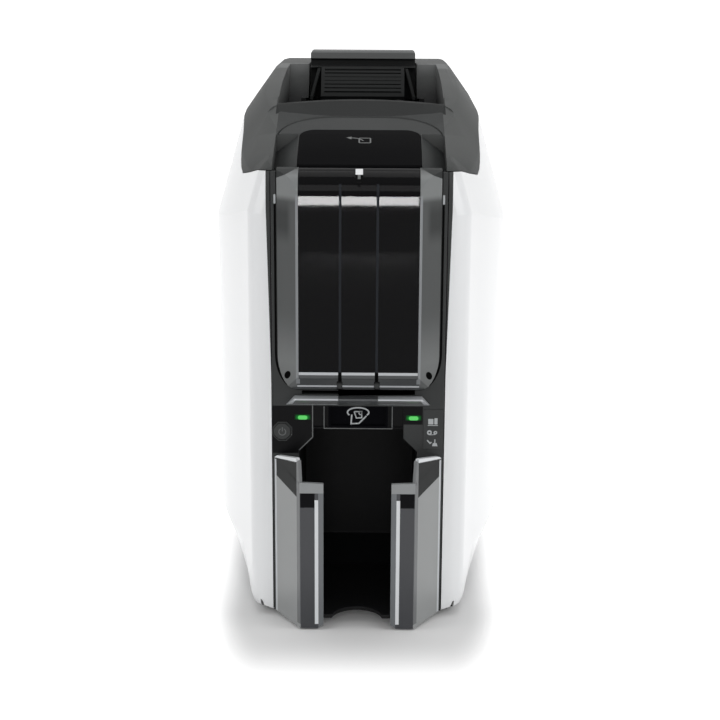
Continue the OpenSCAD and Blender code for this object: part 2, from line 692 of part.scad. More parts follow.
module power_button() color("dimgray") {
    slab_y(front_y - 1, bezel_back + 1.6) at_button() octagon(button_r);
    slab_y(bezel_back + 0.3, bezel_back + 1.6) at_button() octagon(button_r + 0.9);
    slab_y(bezel_back + 1.5, bezel_back + 3.1) at_button() circle(1.5);
}

module control_boards() color("darkgreen") {
    both_sides() slab_y(bezel_back + 5.4, bezel_back + 7) polygon([[24, 104.5], [33, 104.5], [33, 90.5],
        [icon_x1, 90.5], [icon_x1, 112.5], [24, 112.5]]);
}

module button_switch() color("silver")
    slab_y(bezel_back + 4.4, bezel_back + 5.4) at_button() translate([-1.2, -3]) square([4.2, 6]);

// ---- base, rear and inner deck ----

module base_tray() color("dimgray") difference() {
    union() {
        box([-tray_x, bezel_back, base_z], [tray_x, rear_y - wall - seam, tray_z]);
        both_sides() slab_y(front_y + 40, rear_y - 14) polygon([[tray_x - 2, tray_z - 0.1], [tray_x, tray_z - 0.1], [tray_x, tray_z + 0.1],
            [tray_x + 2.4, tray_z + 0.1], [tray_x + 2.4, tray_z + 2], [tray_x - 2, tray_z + 2]]);
        both_sides() box([frame_x + frame_t, frame_front_y + 20, tray_z - 0.1], [frame_x + frame_t + 2.4, rear_y - 30, tray_z + 6]);
        board_posts();
    }
    // the front corners follow the rounded strips
    both_sides() box([band_x + 3.5, bezel_back - 1, 0], [tray_x + 5, front_y + 5.5, tray_z + 3]);
    // slots for air under the board
    for (i = [0:7]) box([-24, board_y - 40 + i*14, 0], [24, board_y - 35 + i*14, tray_z + 1]);
}

foot_at = [[-40, front_y + 26], [40, front_y + 26], [-40, rear_y - 32], [40, rear_y - 32]];
module rubber_feet() color("black") for (p = foot_at) translate([p[0], p[1], 0]) {
    cylinder(r1 = foot_r - 1, r2 = foot_r, h = foot_h);
}

inlet_x = -17;
inlet_z = 31;
module rear_panel() color("dimgray") difference() {
    box([-rear_opening_x, rear_y - wall, base_z], [rear_opening_x, rear_y, deck_z + deck_t]);
    for (i = [0:11]) box([-38, rear_y - wall - 1, 96 + i*8], [38, rear_y + 1, 99.5 + i*8]);
    box([inlet_x - 13.5, rear_y - wall - 1, inlet_z - 10], [inlet_x + 13.5, rear_y + 1, inlet_z + 10]);
    box([1.5, rear_y - wall - 1, board_z + 1], [14.5, rear_y + 1, 29]);
    box([16.5, rear_y - wall - 1, board_z + 1], [32.5, rear_y + 1, 31]);
}

// The barrels' webs swing down here when the cover is open
module cover_lugs_gap() both_sides() slab_x(barrel_x0 - 0.5, barrel_x + 0.5) difference() {
    translate([hinge_y, hinge_z]) circle(barrel_r + 4);
    translate([hinge_y - 20, hinge_z - 20]) square([40, 17]);
    translate([hinge_y, hinge_z]) circle(barrel_r + 0.6);
}

function deck_x(y) = half_w(y) - lean*(deck_z + 1 - shoulder_at(y)) - wall/cos(16) - 0.5;
module inner_deck() color("dimgray") difference() {
    union() {
        translate([0, 0, deck_z]) linear_extrude(deck_t) {
            ys = [for (y = stations) if (y > front_y + 8 && y < rear_y - 16) y];
            polygon(concat([for (y = ys) [deck_x(y), y]], [[deck_x(rear_y - 16), rear_y - 16], [rear_opening_x - 4, rear_y - 12],
                [rear_opening_x - 4, rear_y - wall], [-rear_opening_x + 4, rear_y - wall], [-rear_opening_x + 4, rear_y - 12], [-deck_x(rear_y - 16), rear_y - 16]],
                [for (i = [len(ys) - 1:-1:0]) [-deck_x(ys[i]), ys[i]]]));
        }
        // the ribbon bay's rim
        box([-35.5, peak_y - 98, deck_z], [35.5, peak_y + 104, deck_z + 6]);
        // a curved shroud behind the barrels
        slab_x(-rear_opening_x + 1, rear_opening_x - 1) polygon(concat(
            arc(hinge_y, hinge_z, barrel_r + 2.6, -70, 30, 10), arc(hinge_y, hinge_z, barrel_r + 1.2, 30, -70, 10)));
        slab_x(-rear_opening_x + 1, rear_opening_x - 1) polygon([[hinge_y + 1.6, deck_z], [hinge_y + 1.6, hinge_z - 7],
            [hinge_y + 4, hinge_z - 6.4], [hinge_y + 6.4, hinge_z - 4.8], [rear_y - wall, deck_z + deck_t], [rear_y - wall, deck_z]]);
        // knuckles for the cover's pins
        both_sides() slab_x(knuckle_x, barrel_x0 - 0.4) hull() {
            translate([hinge_y, hinge_z]) circle(barrel_r, $fn = 32);
            translate([hinge_y - 9, deck_z]) square([14, 1]);
        }
    }
    box([-33.4, peak_y - 96, deck_z - 1], [33.4, peak_y + 102, deck_z + 7]);
    cover_lugs_gap();
    rod(-60, 60, hinge_y, hinge_z, pin_r);
}

// ---- side frames ----

roller_z = path_z - platen_r;
platen_y = head_y;
pick_y = front_y + 87;
transport_y = front_y + 112;
cleaning_y = front_y + 137;
exit_y = pick_y + 1;
exit_z = 88.4;
pinch_r = 5;
spool_z = path_z + 45;
supply_y = peak_y + 65;
takeup_y = peak_y - 70;
peg_r = 4;
bush_r = 5;
motor_a = 50;
gear_gap = gear_m*(pinion_teeth + gear_teeth)/2;
motor_y = platen_y + gear_gap*cos(motor_a);
motor_z = roller_z - gear_gap*sin(motor_a);
motor_r = 17;
shafts = [[pick_y, roller_z], [transport_y, roller_z], [cleaning_y, path_z + 0.9 + feed_r],
    [platen_y, roller_z], [exit_y, exit_z - feed_r]];
pinches = [[transport_y, path_z + 0.9 + pinch_r], [exit_y, exit_z + 0.9 + pinch_r]];
pegs = [[supply_y, spool_z], [takeup_y, spool_z]];
bars = [[peak_y - 98, 36], [peak_y + 50, 50], [rear_y - 21.5, 60], [rear_y - 21.5, deck_z - 20], [peak_y - 90, deck_z - 12]];

module side_frame(motor_side) color("silver") slab_x(frame_x, frame_x + frame_t) difference() {
    polygon([[frame_front_y, tray_z], [rear_y - wall, tray_z], [rear_y - wall, deck_z], [frame_front_y, deck_z]]);
    for (p = shafts) translate(p) circle(bush_r);
    for (p = pinches) translate(p) circle(2);
    for (p = pegs) translate(p) circle(peg_r);
    for (p = bars) translate(p) circle(2);
    translate([keeper_y, keeper_z]) circle(1.6);
    if (motor_side) translate([motor_y, motor_z]) circle(6);
}
module right_frame() side_frame(false);
module left_frame() mirror([1, 0, 0]) side_frame(true);

module cross_bars() color("silver") {
    for (p = bars) rod(-frame_x, frame_x, p[0], p[1], 4);
    keeper_pins();
}

module shaft_bushes() color("goldenrod") both_sides() for (p = shafts) difference() {
    union() {
        rod(frame_x - 1.2, frame_x, p[0], p[1], bush_r + 1.5);
        rod(frame_x - 0.1, frame_x + frame_t + 0.6, p[0], p[1], bush_r);
    }
    rod(frame_x - 3, frame_x + 4, p[0], p[1], shaft_r + run_gap);
}

module spool_pegs() color("dimgray") both_sides() for (p = pegs) {
    rod(frame_x - 9, frame_x + frame_t, p[0], p[1], peg_r);
    rod(frame_x - 1.5, frame_x, p[0], p[1], peg_r + 3);
}

// ---- rollers and drive ----

drive_x = -frame_x - frame_t;
module roller_on(p, r, x, left) {
    rod(-x, x, p[0], p[1], r);
    rod(left, frame_x + frame_t + 2, p[0], p[1], shaft_r);
}
module pulley(p) {
    rod(drive_x - 12.6, drive_x - 8.6, p[0], p[1], pulley_r);
    rod(drive_x - 13.4, drive_x - 12.6, p[0], p[1], pulley_r + 1.6);
    rod(drive_x - 8.6, drive_x - 7.8, p[0], p[1], pulley_r + 1.6);
}

module platen_roller() color("black") difference() {
    rod(-29, 29, platen_y, roller_z, platen_r);
    rod(-30, 30, platen_y, roller_z, shaft_r);
}
module platen_shaft() color("silver") rod(drive_x - 13.4, frame_x + frame_t + 2, platen_y, roller_z, shaft_r);
module pick_roller() color("black") difference() {
    rod(-11.5, 11.5, pick_y, roller_z, platen_r + 0.8);
    rod(-12, 12, pick_y, roller_z, shaft_r);
}
module pick_shaft() color("silver") {
    difference() {
        pulley([pick_y, roller_z]);
        rod(drive_x - 14, drive_x - 7, pick_y, roller_z, shaft_r - 0.5);
    }
    rod(drive_x - 13.4, frame_x + frame_t + 2, pick_y, roller_z, shaft_r);
}
module transport_roller() color("black") difference() {
    rod(-28, 28, transport_y, roller_z, platen_r);
    rod(-29, 29, transport_y, roller_z, shaft_r);
}
module transport_shaft() color("silver") {
    pulley([transport_y, roller_z]);
    rod(drive_x - 13.4, frame_x + frame_t + 2, transport_y, roller_z, shaft_r);
}
module cleaning_roller() color("orchid") roller_on(shafts[2], feed_r, 28, -frame_x - frame_t - 2);
module exit_roller() color("black") roller_on(shafts[4], feed_r, 26, -frame_x - frame_t - 2);
module pinch_rollers() color("silver") for (p = pinches) {
    rod(-frame_x - frame_t, frame_x + frame_t, p[0], p[1], 2);
    for (x = [-22, -5, 12]) rod(x, x + 10, p[0], p[1], pinch_r);
}

// A spur gear's outline with a tooth on its +X side
module gear_face(teeth, turn) {
    r = gear_m*teeth/2;
    polygon([for (i = [0:teeth - 1]) each let (a = 360*i/teeth + turn, q = 360/teeth)
        [[(r - 1.2*gear_m)*cos(a - 0.34*q), (r - 1.2*gear_m)*sin(a - 0.34*q)],
         [r*cos(a - 0.22*q), r*sin(a - 0.22*q)],
         [(r + 0.85*gear_m)*cos(a - 0.11*q), (r + 0.85*gear_m)*sin(a - 0.11*q)],
         [(r + 0.85*gear_m)*cos(a + 0.11*q), (r + 0.85*gear_m)*sin(a + 0.11*q)],
         [r*cos(a + 0.22*q), r*sin(a + 0.22*q)],
         [(r - 1.2*gear_m)*cos(a + 0.34*q), (r - 1.2*gear_m)*sin(a + 0.34*q)]]]);
}

module platen_gear() color("white") {
    slab_x(drive_x - 6, drive_x - 1.6) difference() {
        translate([platen_y, roller_z]) gear_face(gear_teeth, -motor_a);
        translate([platen_y, roller_z]) circle(shaft_r);
        for (a = [0:60:300]) translate([platen_y + 17*cos(a), roller_z + 17*sin(a)]) circle(5, $fn = 32);
    }
    difference() {
        pulley([platen_y, roller_z]);
        rod(drive_x - 14, drive_x - 7, platen_y, roller_z, shaft_r);
    }
    difference() {
        rod(drive_x - 7.9, drive_x - 5.9, platen_y, roller_z, shaft_r + 3);
        rod(drive_x - 9, drive_x - 5, platen_y, roller_z, shaft_r);
    }
}

module motor_pinion() color("goldenrod") {
    slab_x(drive_x - 6.4, drive_x - 1.2) translate([motor_y, motor_z])
        gear_face(pinion_teeth, 180 - motor_a + 180/pinion_teeth);
    rod(drive_x - 8, -frame_x + 12, motor_y, motor_z, 2.5);
}

module drive_motor() color("silver") difference() {
    union() {
        rod(-frame_x, -frame_x + 40, motor_y, motor_z, motor_r);
        box([-frame_x, motor_y - motor_r - 4, motor_z - 8], [-frame_x + 2, motor_y + motor_r + 4, motor_z + 8]);
    }
    rod(-frame_x - 1, -frame_x + 14, motor_y, motor_z, 2.5 + run_gap);
}

belt_in = pulley_r + 0.3;
module belt_loop(r) hull() {
    translate([pick_y, roller_z]) circle(r);
    translate([platen_y, roller_z]) circle(r);
}
module drive_belt() color("black") slab_x(drive_x - 12.3, drive_x - 8.9) difference() {
    belt_loop(belt_in + 1);
    belt_loop(belt_in);
}

module spool(p, roll_r) {
    difference() {
        union() {
            rod(-frame_x + 2.2, frame_x - 2.2, p[0], p[1], 7.5);
            both_sides() rod(28, 29.5, p[0], p[1], 15.5);
        }
        both_sides() rod(frame_x - 9.6, frame_x, p[0], p[1], peg_r + run_gap);
        rod(-frame_x + 9.6, frame_x - 9.6, p[0], p[1], 5.5);
    }
    difference() {
        rod(-28, 28, p[0], p[1], roll_r);
        rod(-28.1, 28.1, p[0], p[1], 7.4);
    }
}
module supply_spool() color("slategray") spool(pegs[0], 14);
module takeup_spool() color("slategray") spool(pegs[1], 10.5);

// ---- input hopper ----

hopper_x = card_w/2 + card_play;
hopper_y1 = front_y + 12 + card_l;
hopper_wall = 2;
module hopper_box() color("black") difference() {
    union() {
        box([-hopper_x - hopper_wall, bezel_back, path_z - hopper_wall], [hopper_x + hopper_wall, hopper_y1 + card_play + hopper_wall, deck_z]);
        for (p = [[front_y + 32, path_z + 6], [front_y + 82, deck_z - 24]]) box([-frame_x, p[0], p[1]], [frame_x, p[0] + 8, p[1] + 4]);
    }
    box([-hopper_x, bezel_back - 1, path_z], [hopper_x, hopper_y1 + card_play, deck_z + 1]);
    // the exit slit, the pick roller's opening and the weight's guide
    box([-hopper_x, hopper_y1, path_z], [hopper_x, hopper_y1 + 10, path_z + 1.4]);
    box([-13, pick_y - 11, path_z - 5], [13, pick_y + 11, path_z + 1]);
    box([-3, hopper_y1, path_z + 4], [3, hopper_y1 + 10, deck_z - 4]);
}

weight_z = path_z + 1.2;
weight_lift = deck_z - weight_z - weight_t - 17;
module card_weight() color("gray") {
    box([-card_w/2 + 0.5, front_y + 14, weight_z], [card_w/2 - 0.5, hopper_y1 - 0.4, weight_z + weight_t]);
    box([-2.6, hopper_y1 - 0.5, weight_z + 3.4], [2.6, hopper_y1 + card_play + hopper_wall + 0.4, weight_z + weight_t]);
    box([-5, hopper_y1 + card_play + hopper_wall + 0.3, weight_z + 3.4], [5, hopper_y1 + card_play + hopper_wall + 1.8, weight_z + weight_t]);
    hull() {
        box([-9, front_y + 14, weight_z + weight_t - 1], [9, front_y + 20, weight_z + weight_t]);
        box([-7, front_y + 15, weight_z + weight_t], [7, front_y + 17, weight_z + weight_t + 13]);
    }
}

// ---- output hopper ----

liner_y1 = front_y + 74;
floor_y = front_y + 52;
module output_liner() color("black") {
    liner_shell();
    output_ramp();
}
module liner_shell() difference() {
    slab_y(bezel_back, liner_y1 + 2) cavity_face(1.6);
    slab_y(bezel_back - 1, liner_y1) cavity_face();
    box([-60, bezel_back - 1, 0], [60, liner_y1 + 4, tray_z]);
    slab_y(liner_y1 - 1, liner_y1 + 3) translate([-card_w/2 - 1, exit_z - 1.4]) square([card_w + 2, 3.6]);
}
module output_ramp() slab_x(-cavity_x - 0.5, cavity_x + 0.5)
    polygon([[floor_y, tray_z], [liner_y1, tray_z], [liner_y1, tray_z + 12], [floor_y, tray_z + 1]]);

wing_x = band_x - 1.1;
wing_back = front_y - 0.4;
wing_front = front_y - wing_reach;
wing_mid = 29;
module wing_plan() polygon([[wing_x, wing_back], [wing_mid, wing_front], [lip_gap, wing_front], [lip_gap, wing_front + wing_wall],
    [wing_mid - 1, wing_front + wing_wall], [wing_x - 1.35*wing_wall, wing_back]]);
module wing_face() polygon([[lip_gap - 1, 3.4], [lip_gap + 3, 0.6], [wing_mid, 0.6], [wing_x + 1, 3], [wing_x + 1, wing_z + 0.5], [wing_mid, lip_z + 0.6], [lip_gap - 1, lip_z]]);
module output_wings() color([0.4, 0.42, 0.45, 0.6]) both_sides() intersection() {
    linear_extrude(200) wing_plan();
    slab_y(wing_front - 5, wing_back + 5) wing_face();
}
tray_lift = 0.4;
module output_tray() color("black") {
    difference() {
        translate([0, 0, tray_z + tray_lift]) linear_extrude(2) union() {
            polygon([[-wing_mid + 0.5, wing_front + 0.6], [wing_mid - 0.5, wing_front + 0.6], [wing_x - 1, wing_back], [-wing_x + 1, wing_back]]);
            translate([-cavity_x + 0.8, wing_back - 1]) square([2*cavity_x - 1.6, floor_y - wing_back + 0.4]);
        }
        linear_extrude(100) both_sides() wing_plan();
        translate([0, wing_front - 2, 0]) cylinder(r = 13, h = 100);
    }
    both_sides() box([cavity_x - 2.4, front_y + 3, tray_z + tray_lift + 1.9], [cavity_x - 0.8, floor_y - 1, tray_z + tray_lift + 8]);
}

// ---- guides, board and rear sockets ----

module card_guides() color("black") {
    box([-frame_x, transport_y + platen_r + 1, path_z - 2.2], [frame_x, platen_y - platen_r - 1, path_z - 0.4]);
    box([-frame_x, platen_y + platen_r + 1, path_z - 2.2], [frame_x, platen_y + 62, path_z - 0.4]);
    both_sides() box([card_w/2 + 0.6, platen_y + platen_r + 1, path_z - 0.5], [card_w/2 + 2, platen_y + 62, path_z + 3]);
    slab_x(-frame_x, frame_x) polygon([[exit_y + 7.4, exit_z - 1.8], [platen_y - 30, roller_z - 6], [platen_y - 30, roller_z - 4.4], [exit_y + 7.4, exit_z - 0.2]]);
}
board_z = tray_z + 8;
board_y = peak_y - 20;
module main_board() color("darkgreen") box([-31.5, board_y - 62, board_z], [31.5, rear_y - 19.5, board_z + 1.6]);
module board_posts() for (x = [-28, 28]) for (y = [board_y - 56, board_y + 76, rear_y - 29.5])
    translate([x, y, tray_z - 0.1]) cylinder(r = 2.6, h = 8.1);
module board_parts() color("black") {
    for (b = [[-18, 20, 26, 26, 2.4], [12, 30, 16, 12, 2], [12, 60, 12, 20, 2], [-20, -40, 40, 8, 9], [-24, 90, 18, 30, 14], [8, 100, 10, 10, 3]])
        translate([b[0], board_y + b[1], board_z + 1.6]) cube([b[2], b[3], b[4]]);
    for (p = [[20, 130], [6, 130], [20, -8], [-24, -10]]) translate([p[0], board_y + p[1], board_z + 1.6]) cylinder(r = 5, h = 14);
}

module power_inlet() color("black") {
    inlet_shell();
    inlet_pins();
}
module inlet_shell() difference() {
    union() {
        box([inlet_x - 13.5, rear_y - 26, inlet_z - 10], [inlet_x + 13.5, rear_y + 1, inlet_z + 10]);
        box([inlet_x - 15.5, rear_y, inlet_z - 12], [inlet_x + 15.5, body_d/2, inlet_z + 12]);
    }
    slab_y(rear_y - 14, body_d/2 + 1) offset(r = 1.5) polygon([[inlet_x - 10, inlet_z - 6.5], [inlet_x + 10, inlet_z - 6.5],
        [inlet_x + 10, inlet_z + 3], [inlet_x + 6, inlet_z + 6.5], [inlet_x - 6, inlet_z + 6.5], [inlet_x - 10, inlet_z + 3]]);
}
module inlet_pins() for (p = [[-6, -2], [0, 2], [6, -2]])
    box([inlet_x + p[0] - 1, rear_y - 14, inlet_z + p[1] - 2], [inlet_x + p[0] + 1, rear_y - 2, inlet_z + p[1] + 2]);

module data_sockets() color("silver") {
    difference() {
        box([2, rear_y - 21.5, board_z + 1.6], [14, rear_y + 1, 28.5]);
        box([3, rear_y - 13.5, 17.5], [13, rear_y + 2, 27.5]);
    }
    box([6, rear_y - 14.5, 20.5], [10, rear_y - 1, 24.5]);
    difference() {
        box([17, rear_y - 23.5, board_z + 1.6], [32, rear_y + 1, 30.5]);
        box([18.5, rear_y - 15.5, 18.5], [30.5, rear_y + 2, 27]);
        box([21.5, rear_y - 15.5, 26], [27.5, rear_y + 2, 29.5]);
    }
}

module housing_screws() color("silver") both_sides() for (z = [14, deck_z - 8]) difference() {
    slab_y(rear_y, rear_y + 1.4) translate([50, z]) circle(3.2);
    slab_y(rear_y + 0.6, rear_y + 2) translate([50, z]) circle(1.4, $fn = 6);
}

// ---- drawing ----

left_side_panel();
right_side_panel();
top_cover();
hood_insert();
cover_hinge_barrel();
hinge_pins();
latch_lever();
latch_hooks();
latch_bearings();
head_bracket();
print_head();
head_heat_sink();
door_pane();
door_carrier();
door_pull();
front_bezel();
feed_lip();
feed_window();
status_lights();
icon_plate();
power_button();
control_boards();
button_switch();
base_tray();
rubber_feet();
rear_panel();
inner_deck();
left_frame();
right_frame();
cross_bars();
shaft_bushes();
spool_pegs();
platen_roller();
platen_shaft();
platen_gear();
pick_roller();
pick_shaft();
transport_roller();
transport_shaft();
cleaning_roller();
exit_roller();
pinch_rollers();
motor_pinion();
drive_motor();
drive_belt();
supply_spool();
takeup_spool();
hopper_box();
card_weight();
output_liner();
output_wings();
output_tray();
card_guides();
main_board();
board_parts();
power_inlet();
data_sockets();
housing_screws();
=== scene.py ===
"""Looks of an ID card printer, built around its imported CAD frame.

Metres, in the CAD's frame: +X to the right seen from the front, +Y to the rear, +Z up.
"""

import json
import logging
import math
from dataclasses import dataclass, field
from enum import Enum
from functools import cache
from typing import Any, Callable, ClassVar, Sequence

import bmesh
import bpy
from mathutils import Matrix, Quaternion, Vector
from mathutils.bvhtree import BVHTree

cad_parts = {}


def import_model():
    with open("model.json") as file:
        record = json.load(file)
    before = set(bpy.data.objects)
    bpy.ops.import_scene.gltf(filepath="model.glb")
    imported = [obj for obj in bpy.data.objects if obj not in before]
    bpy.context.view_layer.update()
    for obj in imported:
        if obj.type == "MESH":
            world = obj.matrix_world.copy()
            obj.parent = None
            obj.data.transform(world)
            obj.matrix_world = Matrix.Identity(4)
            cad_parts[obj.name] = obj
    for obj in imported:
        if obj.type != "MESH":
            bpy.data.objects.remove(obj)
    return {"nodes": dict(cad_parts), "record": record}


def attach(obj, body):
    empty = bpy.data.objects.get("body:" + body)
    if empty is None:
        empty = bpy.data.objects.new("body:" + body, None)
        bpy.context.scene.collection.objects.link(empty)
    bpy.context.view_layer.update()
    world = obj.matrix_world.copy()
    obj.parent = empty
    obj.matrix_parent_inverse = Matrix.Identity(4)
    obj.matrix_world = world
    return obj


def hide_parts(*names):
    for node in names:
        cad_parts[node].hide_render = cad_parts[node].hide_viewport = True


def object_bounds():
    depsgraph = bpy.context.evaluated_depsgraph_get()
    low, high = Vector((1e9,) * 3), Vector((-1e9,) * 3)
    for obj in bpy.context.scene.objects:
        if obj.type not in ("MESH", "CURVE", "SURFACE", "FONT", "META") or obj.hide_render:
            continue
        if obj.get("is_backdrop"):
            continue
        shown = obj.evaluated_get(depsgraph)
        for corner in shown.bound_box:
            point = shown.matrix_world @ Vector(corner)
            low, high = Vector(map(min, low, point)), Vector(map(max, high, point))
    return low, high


LOG = logging.getLogger("card_printer")
MM = 0.001
SIDES = ((-1, "left"), (1, "right"))

Pair = tuple[float, float]
Point = tuple[float, float, float]
Colour = tuple[float, float, float]
Placer = Callable[[float, float], Point]
Box = tuple[list[float], list[float]]
Mesh = bpy.types.Mesh
Object = bpy.types.Object
Tree = bpy.types.NodeTree
Socket = bpy.types.NodeSocket


# ---------------------------------------------------------------- finishes


class Texture(Enum):
    """The small-scale relief that a finish carries."""

    NONE = "none"
    GRAIN = "grain"
    BRUSHED = "brushed"


@dataclass(frozen=True)
class Fade:
    """A soft-edged patch where a finish turns to another colour, alike on both sides. Here the patches paint shade,
    light and reflections, and the green halo of a lamp.

    Attributes:
        colour: linear colour of the patch.
        centre: its middle in millimetres.
        half: half of its size each way.
        soft: width over which its edges fade.
        share: how much of the colour below it hides.
    """

    colour: Colour
    centre: Point
    half: Point
    soft: Point
    share: float = 1.0


@dataclass(frozen=True)
class Finish:
    """One surface finish.

    Attributes:
        name: material name.
        colour: linear base colour.
        roughness: mean roughness.
        metallic: 1 for bare metal.
        coat: weight of a clear, glossy coat.
        texture: kind of relief.
        scale: relief features per metre.
        relief: strength of the relief.
        spread: how much the roughness varies over the surface.
        tint: how much the colour varies over the surface.
        alpha: 1 for an opaque piece.
        glow: emission strength.
        specular: level of the surface's own reflection, 0.5 being usual.
        fades: patches of other colours.
    """

    name: str
    colour: Colour
    roughness: float = 0.4
    metallic: float = 0.0
    coat: float = 0.0
    texture: Texture = Texture.GRAIN
    scale: float = 900.0
    relief: float = 0.03
    spread: float = 0.08
    tint: float = 0.04
    alpha: float = 1.0
    glow: float = 0.0
    specular: float = 0.5
    fades: tuple[Fade, ...] = ()


def moulded(name: str, colour: Colour, roughness: float, **more: Any) -> Finish:
    """A matt moulding with a fine grain."""
    return Finish(name, colour, roughness, **{"scale": 2600, "relief": 0.10, "spread": 0.10, **more})


def polished(name: str, colour: Colour, roughness: float, **more: Any) -> Finish:
    """A smooth moulding, glossy or clear."""
    return Finish(name, colour, roughness, **{"scale": 260, "relief": 0.006, "spread": 0.05, **more})


def plain(name: str, colour: Colour, roughness: float, **more: Any) -> Finish:
    """A surface without relief, such as print or an edge."""
    return Finish(name, colour, roughness, **{"texture": Texture.NONE, "spread": 0.03, **more})


# Painted shade and painted light on the cover: the trough and the saddle's low ends are darkened and the horns' rise is
# lit up, as light falls on them.
TROUGH_SHADE = Fade((0.006, 0.006, 0.0065), (0, -42, 245), (46, 63, 11), (4, 6, 16), 0.95)
HORN_LIGHT = Fade((0.17, 0.175, 0.175), (41, 3, 270), (9, 15, 5), (3, 6, 11), 0.9)
SADDLE_SHADE = Fade((0.034, 0.036, 0.036), (52, -170, 222), (16, 30, 12), (8, 60, 24), 0.8)
# Painted reflections on the door's flanges: lighter low down, a dark band higher up and lighter at the top.
FLANGE_LOW_REFLECTION = Fade((0.165, 0.172, 0.172), (36, -186, 138), (9, 12, 12), (2, 2, 34))
FLANGE_DARK_REFLECTION = Fade((0.024, 0.026, 0.026), (38.5, -186, 209), (4.5, 12, 8), (3.5, 2, 11), 0.9)
FLANGE_TOP_REFLECTION = Fade((0.22, 0.23, 0.23), (35, -182, 226), (9, 14, 6), (2, 2, 4), 0.9)

WHITE_GLOSS = polished("white_gloss", (0.82, 0.83, 0.84), 0.30, coat=0.2, relief=0.004, tint=0.012)
# The cover's own grey, with the painted shade and painted light above laid over it.
COVER_GREY = moulded(
    "cover_grey", (0.088, 0.091, 0.090), 0.6, specular=0.08,
    fades=(TROUGH_SHADE, HORN_LIGHT, SADDLE_SHADE),
)
# Painted shade: the cover's grey made darker on the collar round the hood, on the slope before the crest and on the
# carrier's corners under the hood.
COLLAR_SHADE = moulded("collar_grey", (0.036, 0.038, 0.038), 0.5, relief=0.08, specular=0.08)
SLOPE_SHADE = moulded("slope_grey", (0.017, 0.018, 0.018), 0.5, relief=0.08, specular=0.06)
LEVER_GREY = moulded("lever_grey", (0.024, 0.025, 0.025), 0.5, specular=0.03)
# Painted highlight: the lever's top is lighter where light falls on it.
LEVER_TAB_HIGHLIGHT = moulded("lever_tab", (0.155, 0.160, 0.159), 0.5, specular=0.05)
HOOD_BLACK = polished("hood_black", (0.006, 0.006, 0.0065), 0.3, scale=300, relief=0.003, specular=0.004)
BEZEL_GREY = moulded("bezel_grey", (0.044, 0.046, 0.046), 0.45, scale=2400, relief=0.05, specular=0.10)
PANEL_GREY = moulded("panel_grey", (0.046, 0.048, 0.048), 0.45, scale=2400, relief=0.04, specular=0.10)
PANEL_BLACK = polished("panel_black", (0.005, 0.005, 0.0055), 0.3, scale=600, relief=0.01, specular=0.05)
INNER_GREY = moulded("inner_grey", (0.030, 0.031, 0.032), 0.55, scale=1800, relief=0.12, spread=0.12, specular=0.3)
INNER_BLACK = moulded("inner_black", (0.005, 0.005, 0.0055), 0.5, scale=1800, relief=0.08, spread=0.12, specular=0.15)
SMOKE = plain("smoke", (0.0025, 0.0025, 0.003), 0.02, spread=0.0, alpha=0.97, specular=0.06)
# The flanges' smoked grey, with the painted reflections above laid over it.
SMOKE_EDGE = polished(
    "smoke_edge", (0.076, 0.080, 0.080), 0.24, scale=300, relief=0.004, specular=0.2,
    fades=(FLANGE_LOW_REFLECTION, FLANGE_DARK_REFLECTION, FLANGE_TOP_REFLECTION),
)
CHAMFER = polished("chamfer", (0.062, 0.066, 0.068), 0.25, scale=300, relief=0.004, specular=0.3)
GROOVE = plain("groove", (0.018, 0.020, 0.024), 0.35, specular=0.05)
# Painted highlights: bright lines down the pane's sides, along edges of the door, the lip and the wings, and a glint
# down each wing's face and along its rim.
PANE_SIDE_HIGHLIGHT = plain("pane_edge", (0.22, 0.23, 0.24), 0.2, spread=0.04, specular=0.3)
EDGE_HIGHLIGHT = plain("bright_edge", (0.52, 0.54, 0.56), 0.2, spread=0.04, specular=0.4)
WING_GLINT = plain("wing_line", (0.74, 0.76, 0.78), 0.2, spread=0.04, specular=0.4)
WING_SMOKE = polished("wing_smoke", (0.34, 0.35, 0.35), 0.18, alpha=0.86, specular=0.3)
WING_DARK = polished("wing_dark", (0.066, 0.068, 0.074), 0.22, alpha=0.93, specular=0.25)
WING_BLACK = polished("wing_black", (0.006, 0.006, 0.007), 0.2, relief=0.004, spread=0.04, specular=0.03)
# Painted dark reflection in the wings' upper outer corners.
WING_SHADE = polished("wing_shade", (0.017, 0.018, 0.018), 0.25, specular=0.08)
WING_BEND = polished("wing_bend", (0.155, 0.16, 0.165), 0.2, specular=0.3)
# Painted highlight on the wings' lip.
WING_LIP_HIGHLIGHT = polished("wing_lip", (0.27, 0.28, 0.285), 0.2, relief=0.03, tint=0.25, specular=0.4)
WING_SIDE = polished("wing_side", (0.17, 0.18, 0.19), 0.2, alpha=0.9, specular=0.3)
CLEAR = polished("clear", (0.175, 0.180, 0.182), 0.20, scale=300, relief=0.01, alpha=0.92, specular=0.3)
LIP_DARK = polished("lip_dark", (0.080, 0.084, 0.087), 0.3, scale=300, relief=0.01, specular=0.25)
PRINT_WHITE = plain("print_white", (0.45, 0.47, 0.48), 0.45, specular=0.2)
